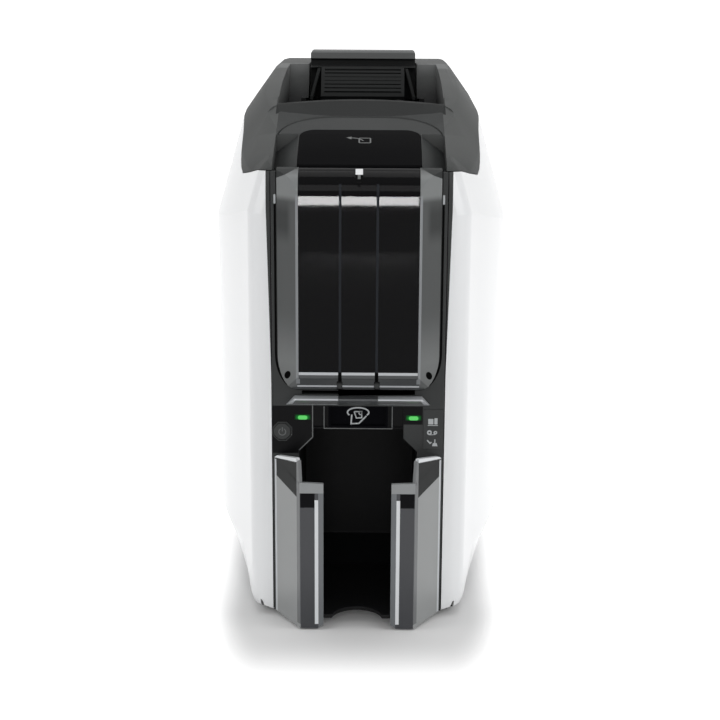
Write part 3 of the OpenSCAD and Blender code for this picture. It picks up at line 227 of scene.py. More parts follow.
# Grey print, also used as a painted highlight along the control blocks' edges.
PRINT_AND_HIGHLIGHT_GREY = plain("print_grey", (0.13, 0.135, 0.135), 0.45, specular=0.2)
TAB_WHITE = Finish("tab_white", (0.72, 0.73, 0.74), 0.3, scale=500, relief=0.01)
LAMP_CORE = plain("lamp_core", (0.045, 0.38, 0.060), 0.25, spread=0.02, glow=0.75)
LAMP_HALO = plain(
    "lamp_halo", (0.003, 0.008, 0.004), 0.3, spread=0.02, tint=0.0, glow=1.0, specular=0.05,
    fades=(Fade((0.004, 0.11, 0.015), (28, -182, 107.8), (3.2, 3, 1.0), (2.2, 2, 1.8)),),
)
STEEL = Finish("steel", (0.50, 0.50, 0.51), 0.32, 1.0, texture=Texture.BRUSHED, scale=700, relief=0.05, spread=0.12)
BRASS = Finish("brass", (0.60, 0.42, 0.17), 0.30, 1.0, texture=Texture.BRUSHED, scale=900, relief=0.04)
ALUMINIUM = Finish("aluminium", (0.62, 0.63, 0.65), 0.36, 1.0, texture=Texture.BRUSHED, scale=900, relief=0.05)
CERAMIC = Finish("ceramic", (0.05, 0.045, 0.04), 0.2, scale=700, relief=0.02)
RUBBER = Finish("rubber", (0.016, 0.016, 0.017), 0.72, scale=2200, relief=0.16, spread=0.15, specular=0.3)
CLEANER = Finish("cleaner", (0.26, 0.13, 0.36), 0.5, scale=1200, relief=0.08)
GEAR_WHITE = Finish("gear_white", (0.62, 0.61, 0.56), 0.42, scale=900, relief=0.03)
RIBBON = Finish("ribbon", (0.03, 0.035, 0.06), 0.25, coat=0.2, scale=1500, relief=0.03)
BOARD = Finish("board", (0.010, 0.085, 0.035), 0.42, scale=1500, relief=0.06)
CHIP = Finish("chip", (0.012, 0.012, 0.013), 0.5, scale=1500, relief=0.06)
GOLD = plain("gold", (0.75, 0.55, 0.22), 0.28, metallic=1.0)
SCREEN = plain("screen", (0.003, 0.003, 0.004), 0.12, spread=0.02, specular=0.008)
# Dark seams, and painted shade: the door's shadow line, the recess discs and the panels' inner edges.
SEAM_AND_SHADE = plain("seam", (0.004, 0.004, 0.004), 0.8, spread=0.02, specular=0.0)

FINISHED_NODES = (
    (WHITE_GLOSS, "left_side_panel right_side_panel"),
    (COVER_GREY, "top_cover cover_hinge_barrel"),
    (LEVER_GREY, "latch_lever"),
    (INNER_GREY, "latch_bearings base_tray rear_panel inner_deck spool_pegs card_weight"),
    (HOOD_BLACK, "hood_insert"),
    (BEZEL_GREY, "front_bezel"),
    (SCREEN, "feed_window"),
    (PANEL_GREY, "icon_plate power_button"),
    (INNER_BLACK, "hopper_box output_liner output_tray card_guides power_inlet"),
    (CHIP, "board_parts"),
    (SMOKE, "door_pane"),
    (SMOKE_EDGE, "door_carrier"),
    (WING_SMOKE, "output_wings"),
    (CLEAR, "feed_lip"),
    (TAB_WHITE, "door_pull"),
    (LAMP_HALO, "status_lights"),
    (STEEL, "hinge_pins latch_hooks head_bracket left_frame right_frame cross_bars platen_shaft"),
    (STEEL, "pick_shaft transport_shaft pinch_rollers drive_motor data_sockets housing_screws"),
    (STEEL, "button_switch"),
    (BRASS, "shaft_bushes motor_pinion"),
    (ALUMINIUM, "head_heat_sink"),
    (CERAMIC, "print_head"),
    (RUBBER, "rubber_feet platen_roller pick_roller transport_roller drive_belt exit_roller"),
    (CLEANER, "cleaning_roller"),
    (GEAR_WHITE, "platen_gear"),
    (RIBBON, "supply_spool takeup_spool"),
    (BOARD, "control_boards main_board"),
)
NODE_FINISH: dict[str, Finish] = {node: finish for finish, nodes in FINISHED_NODES for node in nodes.split()}


def feed(tree: Tree, node: bpy.types.Node, inputs: dict[Any, Any]) -> None:
    """Links a node's inputs, given by name or place, to sockets, or sets them to plain values."""
    for name, value in inputs.items():
        if isinstance(value, Socket):
            tree.links.new(value, node.inputs[name])
        else:
            node.inputs[name].default_value = value


def add_node(tree: Tree, kind: str, inputs: dict[Any, Any], **settings: Any) -> Any:
    """Adds a node with its settings and inputs, and returns its outputs."""
    node = tree.nodes.new(kind)
    for name, value in settings.items():
        setattr(node, name, value)
    feed(tree, node, inputs)
    return node.outputs


def calc(tree: Tree, operation: str, *values: Any) -> Socket:
    """Adds a math node and returns its output."""
    return add_node(tree, "ShaderNodeMath", dict(enumerate(values)), operation=operation)[0]


def vector_calc(tree: Tree, operation: str, *values: Any) -> Socket:
    """Adds a vector math node and returns its output. The length comes out as a number."""
    outputs = add_node(tree, "ShaderNodeVectorMath", dict(enumerate(values)), operation=operation)
    return outputs["Value" if operation == "LENGTH" else "Vector"]


def ramp(tree: Tree, value: Any, ends: Pair, start: Pair = (0.0, 1.0), ease: str = "LINEAR") -> Any:
    """Adds a map range node.

    Args:
        tree: the nodes that it joins.
        value: the socket that it reads.
        ends: what comes out at the two ends.
        start: the values between which it runs.
        ease: its kind of interpolation.

    Returns:
        Its output.
    """
    given = {"Value": value, "From Min": start[0], "From Max": start[1], "To Min": ends[0], "To Max": ends[1]}
    return add_node(tree, "ShaderNodeMapRange", given, interpolation_type=ease)["Result"]


COAT_ROUGHNESS = 0.06
CLOUD_SCALE = 22.0
CLOUD_DETAIL = 3.0
LEAST_ROUGHNESS = 0.02
BRUSH_STRETCH = (0.04, 1.0, 1.0)
BUMP_DEPTH = 0.0004


def lay_patches(tree: Tree, at: Socket, bsdf: bpy.types.Node, f: Finish) -> None:
    """Lays a finish's soft patches over its base colour.

    Args:
        tree: the material's nodes.
        at: object coordinates.
        bsdf: the shader whose base colour is painted.
        f: the finish.
    """
    split = add_node(tree, "ShaderNodeSeparateXYZ", {0: at})
    folded = {"X": calc(tree, "ABSOLUTE", split["X"]), "Y": split["Y"], "Z": split["Z"]}
    spot = add_node(tree, "ShaderNodeCombineXYZ", folded)[0]
    base = bsdf.inputs["Base Color"]
    for fade in f.fades:
        away = vector_calc(tree, "SUBTRACT", spot, tuple(c * MM for c in fade.centre))
        edge = {
            "Vector": vector_calc(tree, "ABSOLUTE", away),
            "From Min": tuple((h - s / 2) * MM for h, s in zip(fade.half, fade.soft)),
            "From Max": tuple((h + s / 2) * MM for h, s in zip(fade.half, fade.soft)),
            "To Min": (1.0, 1.0, 1.0),
            "To Max": (0.0, 0.0, 0.0),
        }
        ways = {"data_type": "FLOAT_VECTOR", "interpolation_type": "SMOOTHSTEP"}
        inside = add_node(tree, "ShaderNodeMapRange", edge, **ways)["Vector"]
        parts = add_node(tree, "ShaderNodeSeparateXYZ", {0: inside})
        cover = calc(tree, "MULTIPLY", parts["X"], parts["Y"])
        for share in (parts["Z"], fade.share):
            cover = calc(tree, "MULTIPLY", cover, share)
        below = base.links[0].from_socket if base.is_linked else base.default_value
        mix = {"Factor": cover, "A": below, "B": (*fade.colour, 1.0)}
        feed(tree, bsdf, {"Base Color": add_node(tree, "ShaderNodeMix", mix, data_type="RGBA")["Result"]})
    if f.glow:
        feed(tree, bsdf, {"Emission Color": base.links[0].from_socket})


@cache
def paint(f: Finish) -> bpy.types.Material:
    """The procedural material of a finish, on object coordinates, built on first use."""
    mat = bpy.data.materials.new(f.name)
    mat.use_nodes = True
    tree = mat.node_tree
    bsdf = tree.nodes["Principled BSDF"]
    colour = (*f.colour, 1.0)
    feed(tree, bsdf, {
        "Base Color": colour, "Metallic": f.metallic, "Coat Weight": f.coat,
        "Coat Roughness": COAT_ROUGHNESS, "Specular IOR Level": f.specular, "Alpha": f.alpha,
    })
    if f.glow:
        feed(tree, bsdf, {"Emission Color": colour, "Emission Strength": f.glow})
    place = add_node(tree, "ShaderNodeTexCoord", {})["Object"]
    cloud = {"Scale": CLOUD_SCALE, "Detail": CLOUD_DETAIL, "Vector": place}
    wide = add_node(tree, "ShaderNodeTexNoise", cloud)["Fac"]
    least = max(LEAST_ROUGHNESS, f.roughness - f.spread / 2)
    feed(tree, bsdf, {"Roughness": ramp(tree, wide, (least, f.roughness + f.spread / 2))})
    if f.tint:
        dark, light = ((*(min(1.0, c * (1 + way * f.tint)) for c in f.colour), 1.0) for way in (-1, 1))
        mix = {"Factor": wide, "A": dark, "B": light}
        feed(tree, bsdf, {"Base Color": add_node(tree, "ShaderNodeMix", mix, data_type="RGBA")["Result"]})
    if f.fades:
        lay_patches(tree, place, bsdf, f)
    if f.texture is not Texture.NONE:
        stretch = {"Vector": place}
        if f.texture is Texture.BRUSHED:
            stretch["Scale"] = BRUSH_STRETCH
        at = add_node(tree, "ShaderNodeMapping", stretch)["Vector"]
        fine = add_node(tree, "ShaderNodeTexNoise", {"Scale": f.scale, "Vector": at})["Fac"]
        bump = {"Strength": f.relief, "Distance": BUMP_DEPTH, "Height": fine}
        feed(tree, bsdf, {"Normal": add_node(tree, "ShaderNodeBump", bump)["Normal"]})
    mat.diffuse_color = colour
    return mat


# ---------------------------------------------------------------- meshes


def linked(name: str, data: Any) -> Object:
    """Adds an object to the scene."""
    obj = bpy.data.objects.new(name, data)
    bpy.context.scene.collection.objects.link(obj)
    return obj


def baked(obj: Object) -> Mesh:
    """The mesh that a curve or a modifier makes. Its object is removed."""
    mesh = bpy.data.meshes.new_from_object(obj.evaluated_get(bpy.context.evaluated_depsgraph_get()))
    bpy.data.objects.remove(obj)
    return mesh


def new_object(name: str, mesh: Mesh, finish: Finish, body: str, *more: Finish) -> Object:
    """Links a mesh as a piece of the printer.

    Args:
        name: piece name.
        mesh: geometry in the shared frame.
        finish: its finish.
        body: the CAD body it moves with.
        *more: finishes of the faces with a material index above 0.

    Returns:
        The new object.
    """
    mesh.name = name
    obj = linked(name, mesh)
    indices = [poly.material_index for poly in mesh.polygons]
    mesh.materials.clear()
    for each in (finish, *more):
        mesh.materials.append(paint(each))
    mesh.polygons.foreach_set("material_index", indices if more else [0] * len(indices))
    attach(obj, body)
    LOG.info("piece %s: %d faces, %s", name, len(mesh.polygons), finish.name)
    return obj


def smooth(mesh: Mesh, angle: float = 32.0) -> None:
    """Shades a mesh smooth, with edges above an angle kept sharp."""
    for poly in mesh.polygons:
        poly.use_smooth = True
    mesh.set_sharp_from_angle(angle=math.radians(angle))


def to_mesh(bm: bmesh.types.BMesh) -> Mesh:
    """Turns an edit mesh into a plain one, and frees it."""
    mesh = bpy.data.meshes.new("piece")
    bm.to_mesh(mesh)
    bm.free()
    return mesh


@dataclass(frozen=True)
class Rounding:
    """How a CAD node's edges are softened.

    Attributes:
        node: CAD node.
        width: bevel width in metres.
        segments: bevel segments.
        angle: edges sharper than this many degrees are bevelled.
        smooth_angle: edges flatter than this shade smooth.
        merge: flat triangles are joined first.
    """

    node: str
    width: float = 0.0006
    segments: int = 2
    angle: float = 28.0
    smooth_angle: float = 32.0
    merge: bool = True


ROUNDINGS: tuple[Rounding, ...] = (
    Rounding("left_side_panel", 0.0010, 3, 50, 48),
    Rounding("right_side_panel", 0.0010, 3, 50, 48),
    Rounding("top_cover", 0.0008, 2, 30, 30),
    Rounding("hood_insert", 0.0005, 2, 40),
    Rounding("latch_lever", 0.0007, 2, 30, 25),
    Rounding("front_bezel", 0.0005, 2, 35),
    Rounding("door_carrier", 0.0009, 3, 20, 40),
    Rounding("door_pane", 0.0007, 2, 40, 40),
    Rounding("door_pull", 0.0003, 2, 50),
    Rounding("output_wings", 0.0006, 2, 20),
    Rounding("output_tray", 0.0005, 2, 35),
    Rounding("feed_lip", 0.0004, 2, 25),
    Rounding("power_button", 0.0006, 2, 30),
    Rounding("icon_plate", 0.0002, 2, 40),
    Rounding("feed_window", 0.0002, 2, 40, 20, merge=False),
    Rounding("status_lights", 0.0002, 2, 40),
    Rounding("rear_panel", 0.0003, 2, 40, merge=False),
    Rounding("base_tray", 0.0003, 2, 40, merge=False),
    Rounding("inner_deck", 0.0004, 2, 40, merge=False),
    Rounding("hopper_box", 0.0004, 1, 40),
    Rounding("output_liner", 0.0005, 2, 40),
    Rounding("card_weight", 0.0012, 3, 30),
    Rounding("rubber_feet", 0.0006, 2, 40),
    Rounding("head_bracket", 0.0004, 1, 40),
    Rounding("print_head", 0.0004, 2, 40),
    Rounding("head_heat_sink", 0.0002, 1, 40),
    Rounding("power_inlet", 0.0005, 2, 40),
    Rounding("data_sockets", 0.0003, 1, 40),
    Rounding("cover_hinge_barrel", 0.0004, 2, 40),
    Rounding("latch_hooks", 0.0003, 1, 40),
    Rounding("drive_motor", 0.0005, 2, 40),
)


@dataclass(frozen=True)
class Zone:
    """A part of a node's surface with a finish of its own.

    Attributes:
        finish: the part's finish.
        low: lowest corner of the box round it, in millimetres.
        high: highest corner of the box.
        facing: direction that its faces face, or None for all faces.
        both: the same again, mirrored to the other side, unless the box spans the middle.
        outline: convex outline in X and Z, if it isn't the box's.
    """

    finish: Finish
    low: Point
    high: Point
    facing: Point | None = None
    both: bool = True
    outline: tuple[Pair, ...] = ()

    def cells(self) -> list["Cell"]:
        """The zone as cells bounded by planes, in metres."""
        (x0, y0, z0), (x1, y1, z1) = self.low, self.high
        ring = list(self.outline or ((x0, z0), (x1, z0), (x1, z1), (x0, z1)))
        sides = [ring]
        if self.both and x0 * x1 > 0:
            sides.append([(-x, z) for x, z in ring])
        return [Cell(each, y0, y1, self.facing) for each in sides]


class Cell:
    """A convex outline in X and Z between two depths, as planes that cut a mesh."""

    SAME_WAY = 0.7
    ON_BORDER = 2e-6
    CUT_DISTANCE = 1e-6

    def __init__(self, ring: Sequence[Pair], y0: float, y1: float, facing: Point | None) -> None:
        self.facing = Vector(facing) if facing else None
        self.low = Vector((min(x for x, _ in ring), y0, min(z for _, z in ring))) * MM
        self.high = Vector((max(x for x, _ in ring), y1, max(z for _, z in ring))) * MM
        mid = Vector((sum(x for x, _ in ring), 0, sum(z for _, z in ring))) / len(ring)
        self.planes = [(Vector((0, y0, 0)) * MM, Vector((0, -1, 0))), (Vector((0, y1, 0)) * MM, Vector((0, 1, 0)))]
        for (ax, az), (bx, bz) in zip(ring, [*ring[1:], ring[0]]):
            at = Vector((ax, 0, az))
            out = Vector((bz - az, 0, ax - bx)).normalized()
            if out.dot(mid - at) > 0:
                out.negate()
            self.planes.append((at * MM, out))

    def touches(self, face: bmesh.types.BMFace) -> bool:
        """Whether a face faces the cell's way and meets the box round it."""
        spans = all(
            min(v.co[k] for v in face.verts) < self.high[k] and max(v.co[k] for v in face.verts) > self.low[k]
            for k in range(3)
        )
        return spans and (self.facing is None or face.normal.dot(self.facing) > self.SAME_WAY)

    def holds(self, point: Vector) -> bool:
        """Whether a point lies inside the cell or on its border."""
        return all((point - at).dot(out) <= self.ON_BORDER for at, out in self.planes)

    def cut(self, bm: bmesh.types.BMesh, index: int) -> None:
        """Cuts the faces along the cell's planes and gives those inside a material index.

        Args:
            bm: the mesh.
            index: the material index.
        """
        for at, out in self.planes:
            faces = [f for f in bm.faces if self.touches(f)]
            geom = faces + list({e for f in faces for e in f.edges}) + list({v for f in faces for v in f.verts})
            if faces:
                bmesh.ops.bisect_plane(bm, geom=geom, dist=self.CUT_DISTANCE, plane_co=at, plane_no=out)
        for face in bm.faces:
            if self.touches(face) and self.holds(face.calc_center_bounds()):
                face.material_index = index


FRONT: Point = (0, -1, 0)
UP: Point = (0, -0.3, 0.95)
HOOD_CORNER = ((30.2, 234), (41.5, 228.8), (41.5, 245), (30.2, 245))
BEZEL_GAP = ((43, 130), (43.7, 130), (45.7, 215), (45.8, 234), (43, 234))
LIP_END = ((30.6, 119.8), (34.3, 113.5), (38.5, 113.5), (33.5, 119.8))
WING_LEAF = ((42.2, 81), (33.2, 72.6), (30.5, 71.0), (30.5, 92), (42.2, 92))
ZONES: dict[str, tuple[Zone, ...]] = {
    # the door: grooves over its ribs, painted highlights as bright edges round the pane, a dark lower rim, and painted
    # shade in the carrier's corners under the hood
    "door_pane": (
        Zone(SMOKE, (-30, -195, 150), (30, -189, 221.6), FRONT),
        Zone(CHAMFER, (-30, -195, 125), (30, -186, 132.2)),
        Zone(EDGE_HIGHLIGHT, (-30, -195, 132.2), (30, -189, 133.6), FRONT),
        Zone(GROOVE, (8.5, -195, 132.2), (9.7, -170, 227.5)),
        Zone(SEAM_AND_SHADE, (8.2, -195, 125), (10.0, -180, 133.6)),
    ),
    "door_carrier": (
        Zone(CHAMFER, (-30.4, -195, 125.4), (30.4, -183, 131.5)),
        Zone(EDGE_HIGHLIGHT, (-30.4, -195, 125.0), (30.4, -183, 126.0)),
        Zone(CHAMFER, (-33, -195, 122), (33, -180, 125.0)),
        Zone(SEAM_AND_SHADE, (8.2, -195, 125), (10.0, -180, 131.5)),
        Zone(PANE_SIDE_HIGHLIGHT, (29.0, -195, 127), (30.9, -183, 222)),
        # painted shade on the carrier's corners under the hood
        Zone(COLLAR_SHADE, (30, -200, 228), (42, -165, 245), outline=HOOD_CORNER),
    ),
    "door_pull": (
        Zone(PRINT_AND_HIGHLIGHT_GREY, (-3, -200, 229.8), (3, -170, 231.7)),
        Zone(SMOKE, (-3, -200, 225), (3, -170, 229.8)),
    ),
    # painted shade: the slope and the collar round the hood are darker than the saddle, where less light falls on them
    "top_cover": (
        Zone(SLOPE_SHADE, (-44.0, -122, 225), (44.0, -100, 262), UP),
        Zone(COLLAR_SHADE, (-42.6, -190, 215), (42.6, -121, 262), UP),
    ),
    # painted highlight on the lever's top
    "latch_lever": (
        Zone(LEVER_TAB_HIGHLIGHT, (-40, -20, 272.1), (40, 60, 280)),
    ),
    # painted shade: the panels' inner edges are darkened where they lie in the gap's shade, and the bezel shows beside
    # their upper ends
    "right_side_panel": (
        Zone(SEAM_AND_SHADE, (43.5, -184, 3), (43.9, -150, 240), (-1, 0, 0), both=False),
        Zone(BEZEL_GREY, (43, -183, 130), (46, -176, 234), outline=BEZEL_GAP),
    ),
    "left_side_panel": (
        Zone(SEAM_AND_SHADE, (-43.9, -184, 3), (-43.5, -150, 240), (1, 0, 0), both=False),
        Zone(BEZEL_GREY, (43, -183, 130), (46, -176, 234), outline=BEZEL_GAP),
    ),
    # the lip under the door, with painted highlights along its edges and ends
    "feed_lip": (
        Zone(EDGE_HIGHLIGHT, (8, -195, 118.5), (45, -180, 121)),
        Zone(EDGE_HIGHLIGHT, (8, -195, 113), (45, -180, 115.3)),
        Zone(EDGE_HIGHLIGHT, (30, -195, 113), (38, -180, 120), outline=LIP_END),
    ),
    "front_bezel": (
        Zone(LIP_DARK, (-10.01, -195, 114), (10.01, -182.05, 119.6)),
        # the control band: black on the left, grey on the right
        Zone(PANEL_BLACK, (-43.4, -182.2, 88.8), (43.4, -181.8, 113.9), FRONT),
        Zone(PANEL_BLACK, (15.2, -181.8, 99), (24, -165, 114.2)),
        Zone(PANEL_GREY, (22.9, -182.2, 88.8), (43.4, -181.8, 104.4), FRONT, both=False),
        Zone(PANEL_GREY, (32.6, -182.2, 104.4), (43.4, -181.8, 113.9), FRONT, both=False),
    ),
    # the output wings: a dark face, a bright bend and a grey inner side, with painted highlights on the lip, down the
    # face and along the outer edge, and a painted dark reflection in the outer panel's upper corner
    "output_wings": (
        Zone(WING_SHADE, (30, -201, 70), (43, -180, 92), outline=WING_LEAF),
        Zone(WING_BEND, (28.7, -201, 3), (30.5, -196, 92)),
        Zone(WING_DARK, (16, -201, 0), (28.7, -196, 90)),
        Zone(WING_SIDE, (16, -201, 0), (19.6, -190, 90)),
        Zone(WING_GLINT, (19.6, -201, 3), (21.4, -199, 70)),
        Zone(WING_BLACK, (21.4, -201, 66), (28.7, -196, 73.6)),
        Zone(WING_LIP_HIGHLIGHT, (16, -201, 73.6), (29.0, -196, 90)),
        Zone(EDGE_HIGHLIGHT, (41.4, -190, 3), (43, -180, 86)),
    ),
}


class NodeSkin:
    """Softened copies of CAD nodes, which stand for them in the picture."""

    MERGE_DISTANCE = 2e-6
    FLAT_ANGLE = math.radians(0.4)

    def __init__(self, nodes: dict[str, Object], bodies: dict[str, list[str]]) -> None:
        self.nodes = nodes
        self.body_of = {name: body for body, members in bodies.items() for name in members}

    def paint_all(self) -> None:
        """Gives every CAD node its finish."""
        for name, obj in self.nodes.items():
            obj.data.materials.clear()
            obj.data.materials.append(paint(NODE_FINISH[name]))

    def soften(self, rule: Rounding) -> None:
        """Copies a node, rounds its edges by a rule and lets the copy stand for it."""
        source = self.nodes[rule.node]
        mesh = source.data.copy()
        zones = ZONES.get(rule.node, ())
        bm = bmesh.new()
        bm.from_mesh(mesh)
        bmesh.ops.remove_doubles(bm, verts=bm.verts, dist=self.MERGE_DISTANCE)
        if rule.merge:
            bmesh.ops.dissolve_limit(bm, angle_limit=self.FLAT_ANGLE, verts=bm.verts, edges=bm.edges)
        bm.normal_update()
        for face in bm.faces:
            face.material_index = 0
        for index, zone in enumerate(zones, 1):
            for cell in zone.cells():
                cell.cut(bm, index)
        bm.to_mesh(mesh)
        bm.free()
        more = [zone.finish for zone in zones]
        obj = new_object(f"{rule.node}_skin", mesh, NODE_FINISH[rule.node], self.body_of[rule.node], *more)
        bevel = obj.modifiers.new("round", "BEVEL")
        bevel.width = rule.width
        bevel.segments = rule.segments
        bevel.limit_method = "ANGLE"
        bevel.angle_limit = math.radians(rule.angle)
        bevel.use_clamp_overlap = True
        bevel.miter_outer = "MITER_ARC"
        smooth(mesh, rule.smooth_angle)
        even = obj.modifiers.new("even_normals", "WEIGHTED_NORMAL")
        even.keep_sharp = True
        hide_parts(rule.node)


# ---------------------------------------------------------------- drawn marks


@dataclass
class Drawing:
    """Flat marks in millimetres, made of strokes and filled shapes."""

    LEAST_LENGTH: ClassVar[float] = 1e-6
    MITRE_LIMIT: ClassVar[float] = 0.4
    verts: list[Pair] = field(default_factory=list)
    faces: list[tuple[int, ...]] = field(default_factory=list)

    def fill(self, points: Sequence[Pair]) -> "Drawing":
        """Adds a filled outline."""
        start = len(self.verts)
        self.verts.extend(points)
        self.faces.append(tuple(range(start, start + len(points))))
        return self

    def stroke(self, points: Sequence[Pair], width: float, closed: bool = False) -> "Drawing":
        """Adds a line of even width along points, with mitred corners."""
        n = len(points)
        sides: list[tuple[Pair, Pair]] = []
        for i, (x, y) in enumerate(points):
            before = points[i - 1] if i or closed else points[i]
            after = points[(i + 1) % n] if i + 1 < n or closed else points[i]
            a = Vector((x - before[0], y - before[1]))
            b = Vector((after[0] - x, after[1] - y))
            a = a.normalized() if a.length else b.normalized()
            b = b.normalized() if b.length else a
            mid = (a + b).normalized() if (a + b).length > self.LEAST_LENGTH else a
            cut = max(self.MITRE_LIMIT, mid.dot(a))
            nx, ny = -mid.y * width / 2 / cut, mid.x * width / 2 / cut
            sides.append(((x + nx, y + ny), (x - nx, y - ny)))
        for i in range(n if closed else n - 1):
            (p, q), (r, s) = sides[i], sides[(i + 1) % n]
            self.fill([p, r, s, q])
        return self

    def arc(self, centre: Pair, radii: Pair, turn: Pair, width: float, steps: int = 18) -> "Drawing":
        """Adds a stroked elliptical arc, with its turn in degrees."""
        (cx, cy), (rx, ry), (a0, a1) = centre, radii, turn
        angles = [math.radians(a0 + (a1 - a0) * i / steps) for i in range(steps + 1)]
        return self.stroke([(cx + rx * math.cos(a), cy + ry * math.sin(a)) for a in angles], width)

    def mesh(self, place: Placer) -> Mesh:
        """Makes a mesh of the marks, each point put in place by a function."""
        data = bpy.data.meshes.new("print")
        data.from_pydata([place(*v) for v in self.verts], [], self.faces)
        data.update()
        return data


def round_rect(cx: float, cy: float, w: float, h: float, r: float, steps: int = 4) -> list[Pair]:
    """Outline of a rounded rectangle."""
    out = []
    for sx, sy, a0 in ((1, 1, 0), (-1, 1, 90), (-1, -1, 180), (1, -1, 270)):
        for i in range(steps + 1):
            a = math.radians(a0 + 90 * i / steps)
            out.append((cx + sx * (w / 2 - r) + r * math.cos(a), cy + sy * (h / 2 - r) + r * math.sin(a)))
    return out


def front_plane(y_mm: float) -> Placer:
    """Placer for marks on a plane that faces the front."""
    return lambda x, z: (x * MM, y_mm * MM, z * MM)


def add_print(name: str, drawing: Drawing, place: Placer, finish: Finish, body: str = "housing") -> None:
    """Adds a drawing as a piece, each of its points put in place by a function."""
    new_object(name, drawing.mesh(place), finish, body)


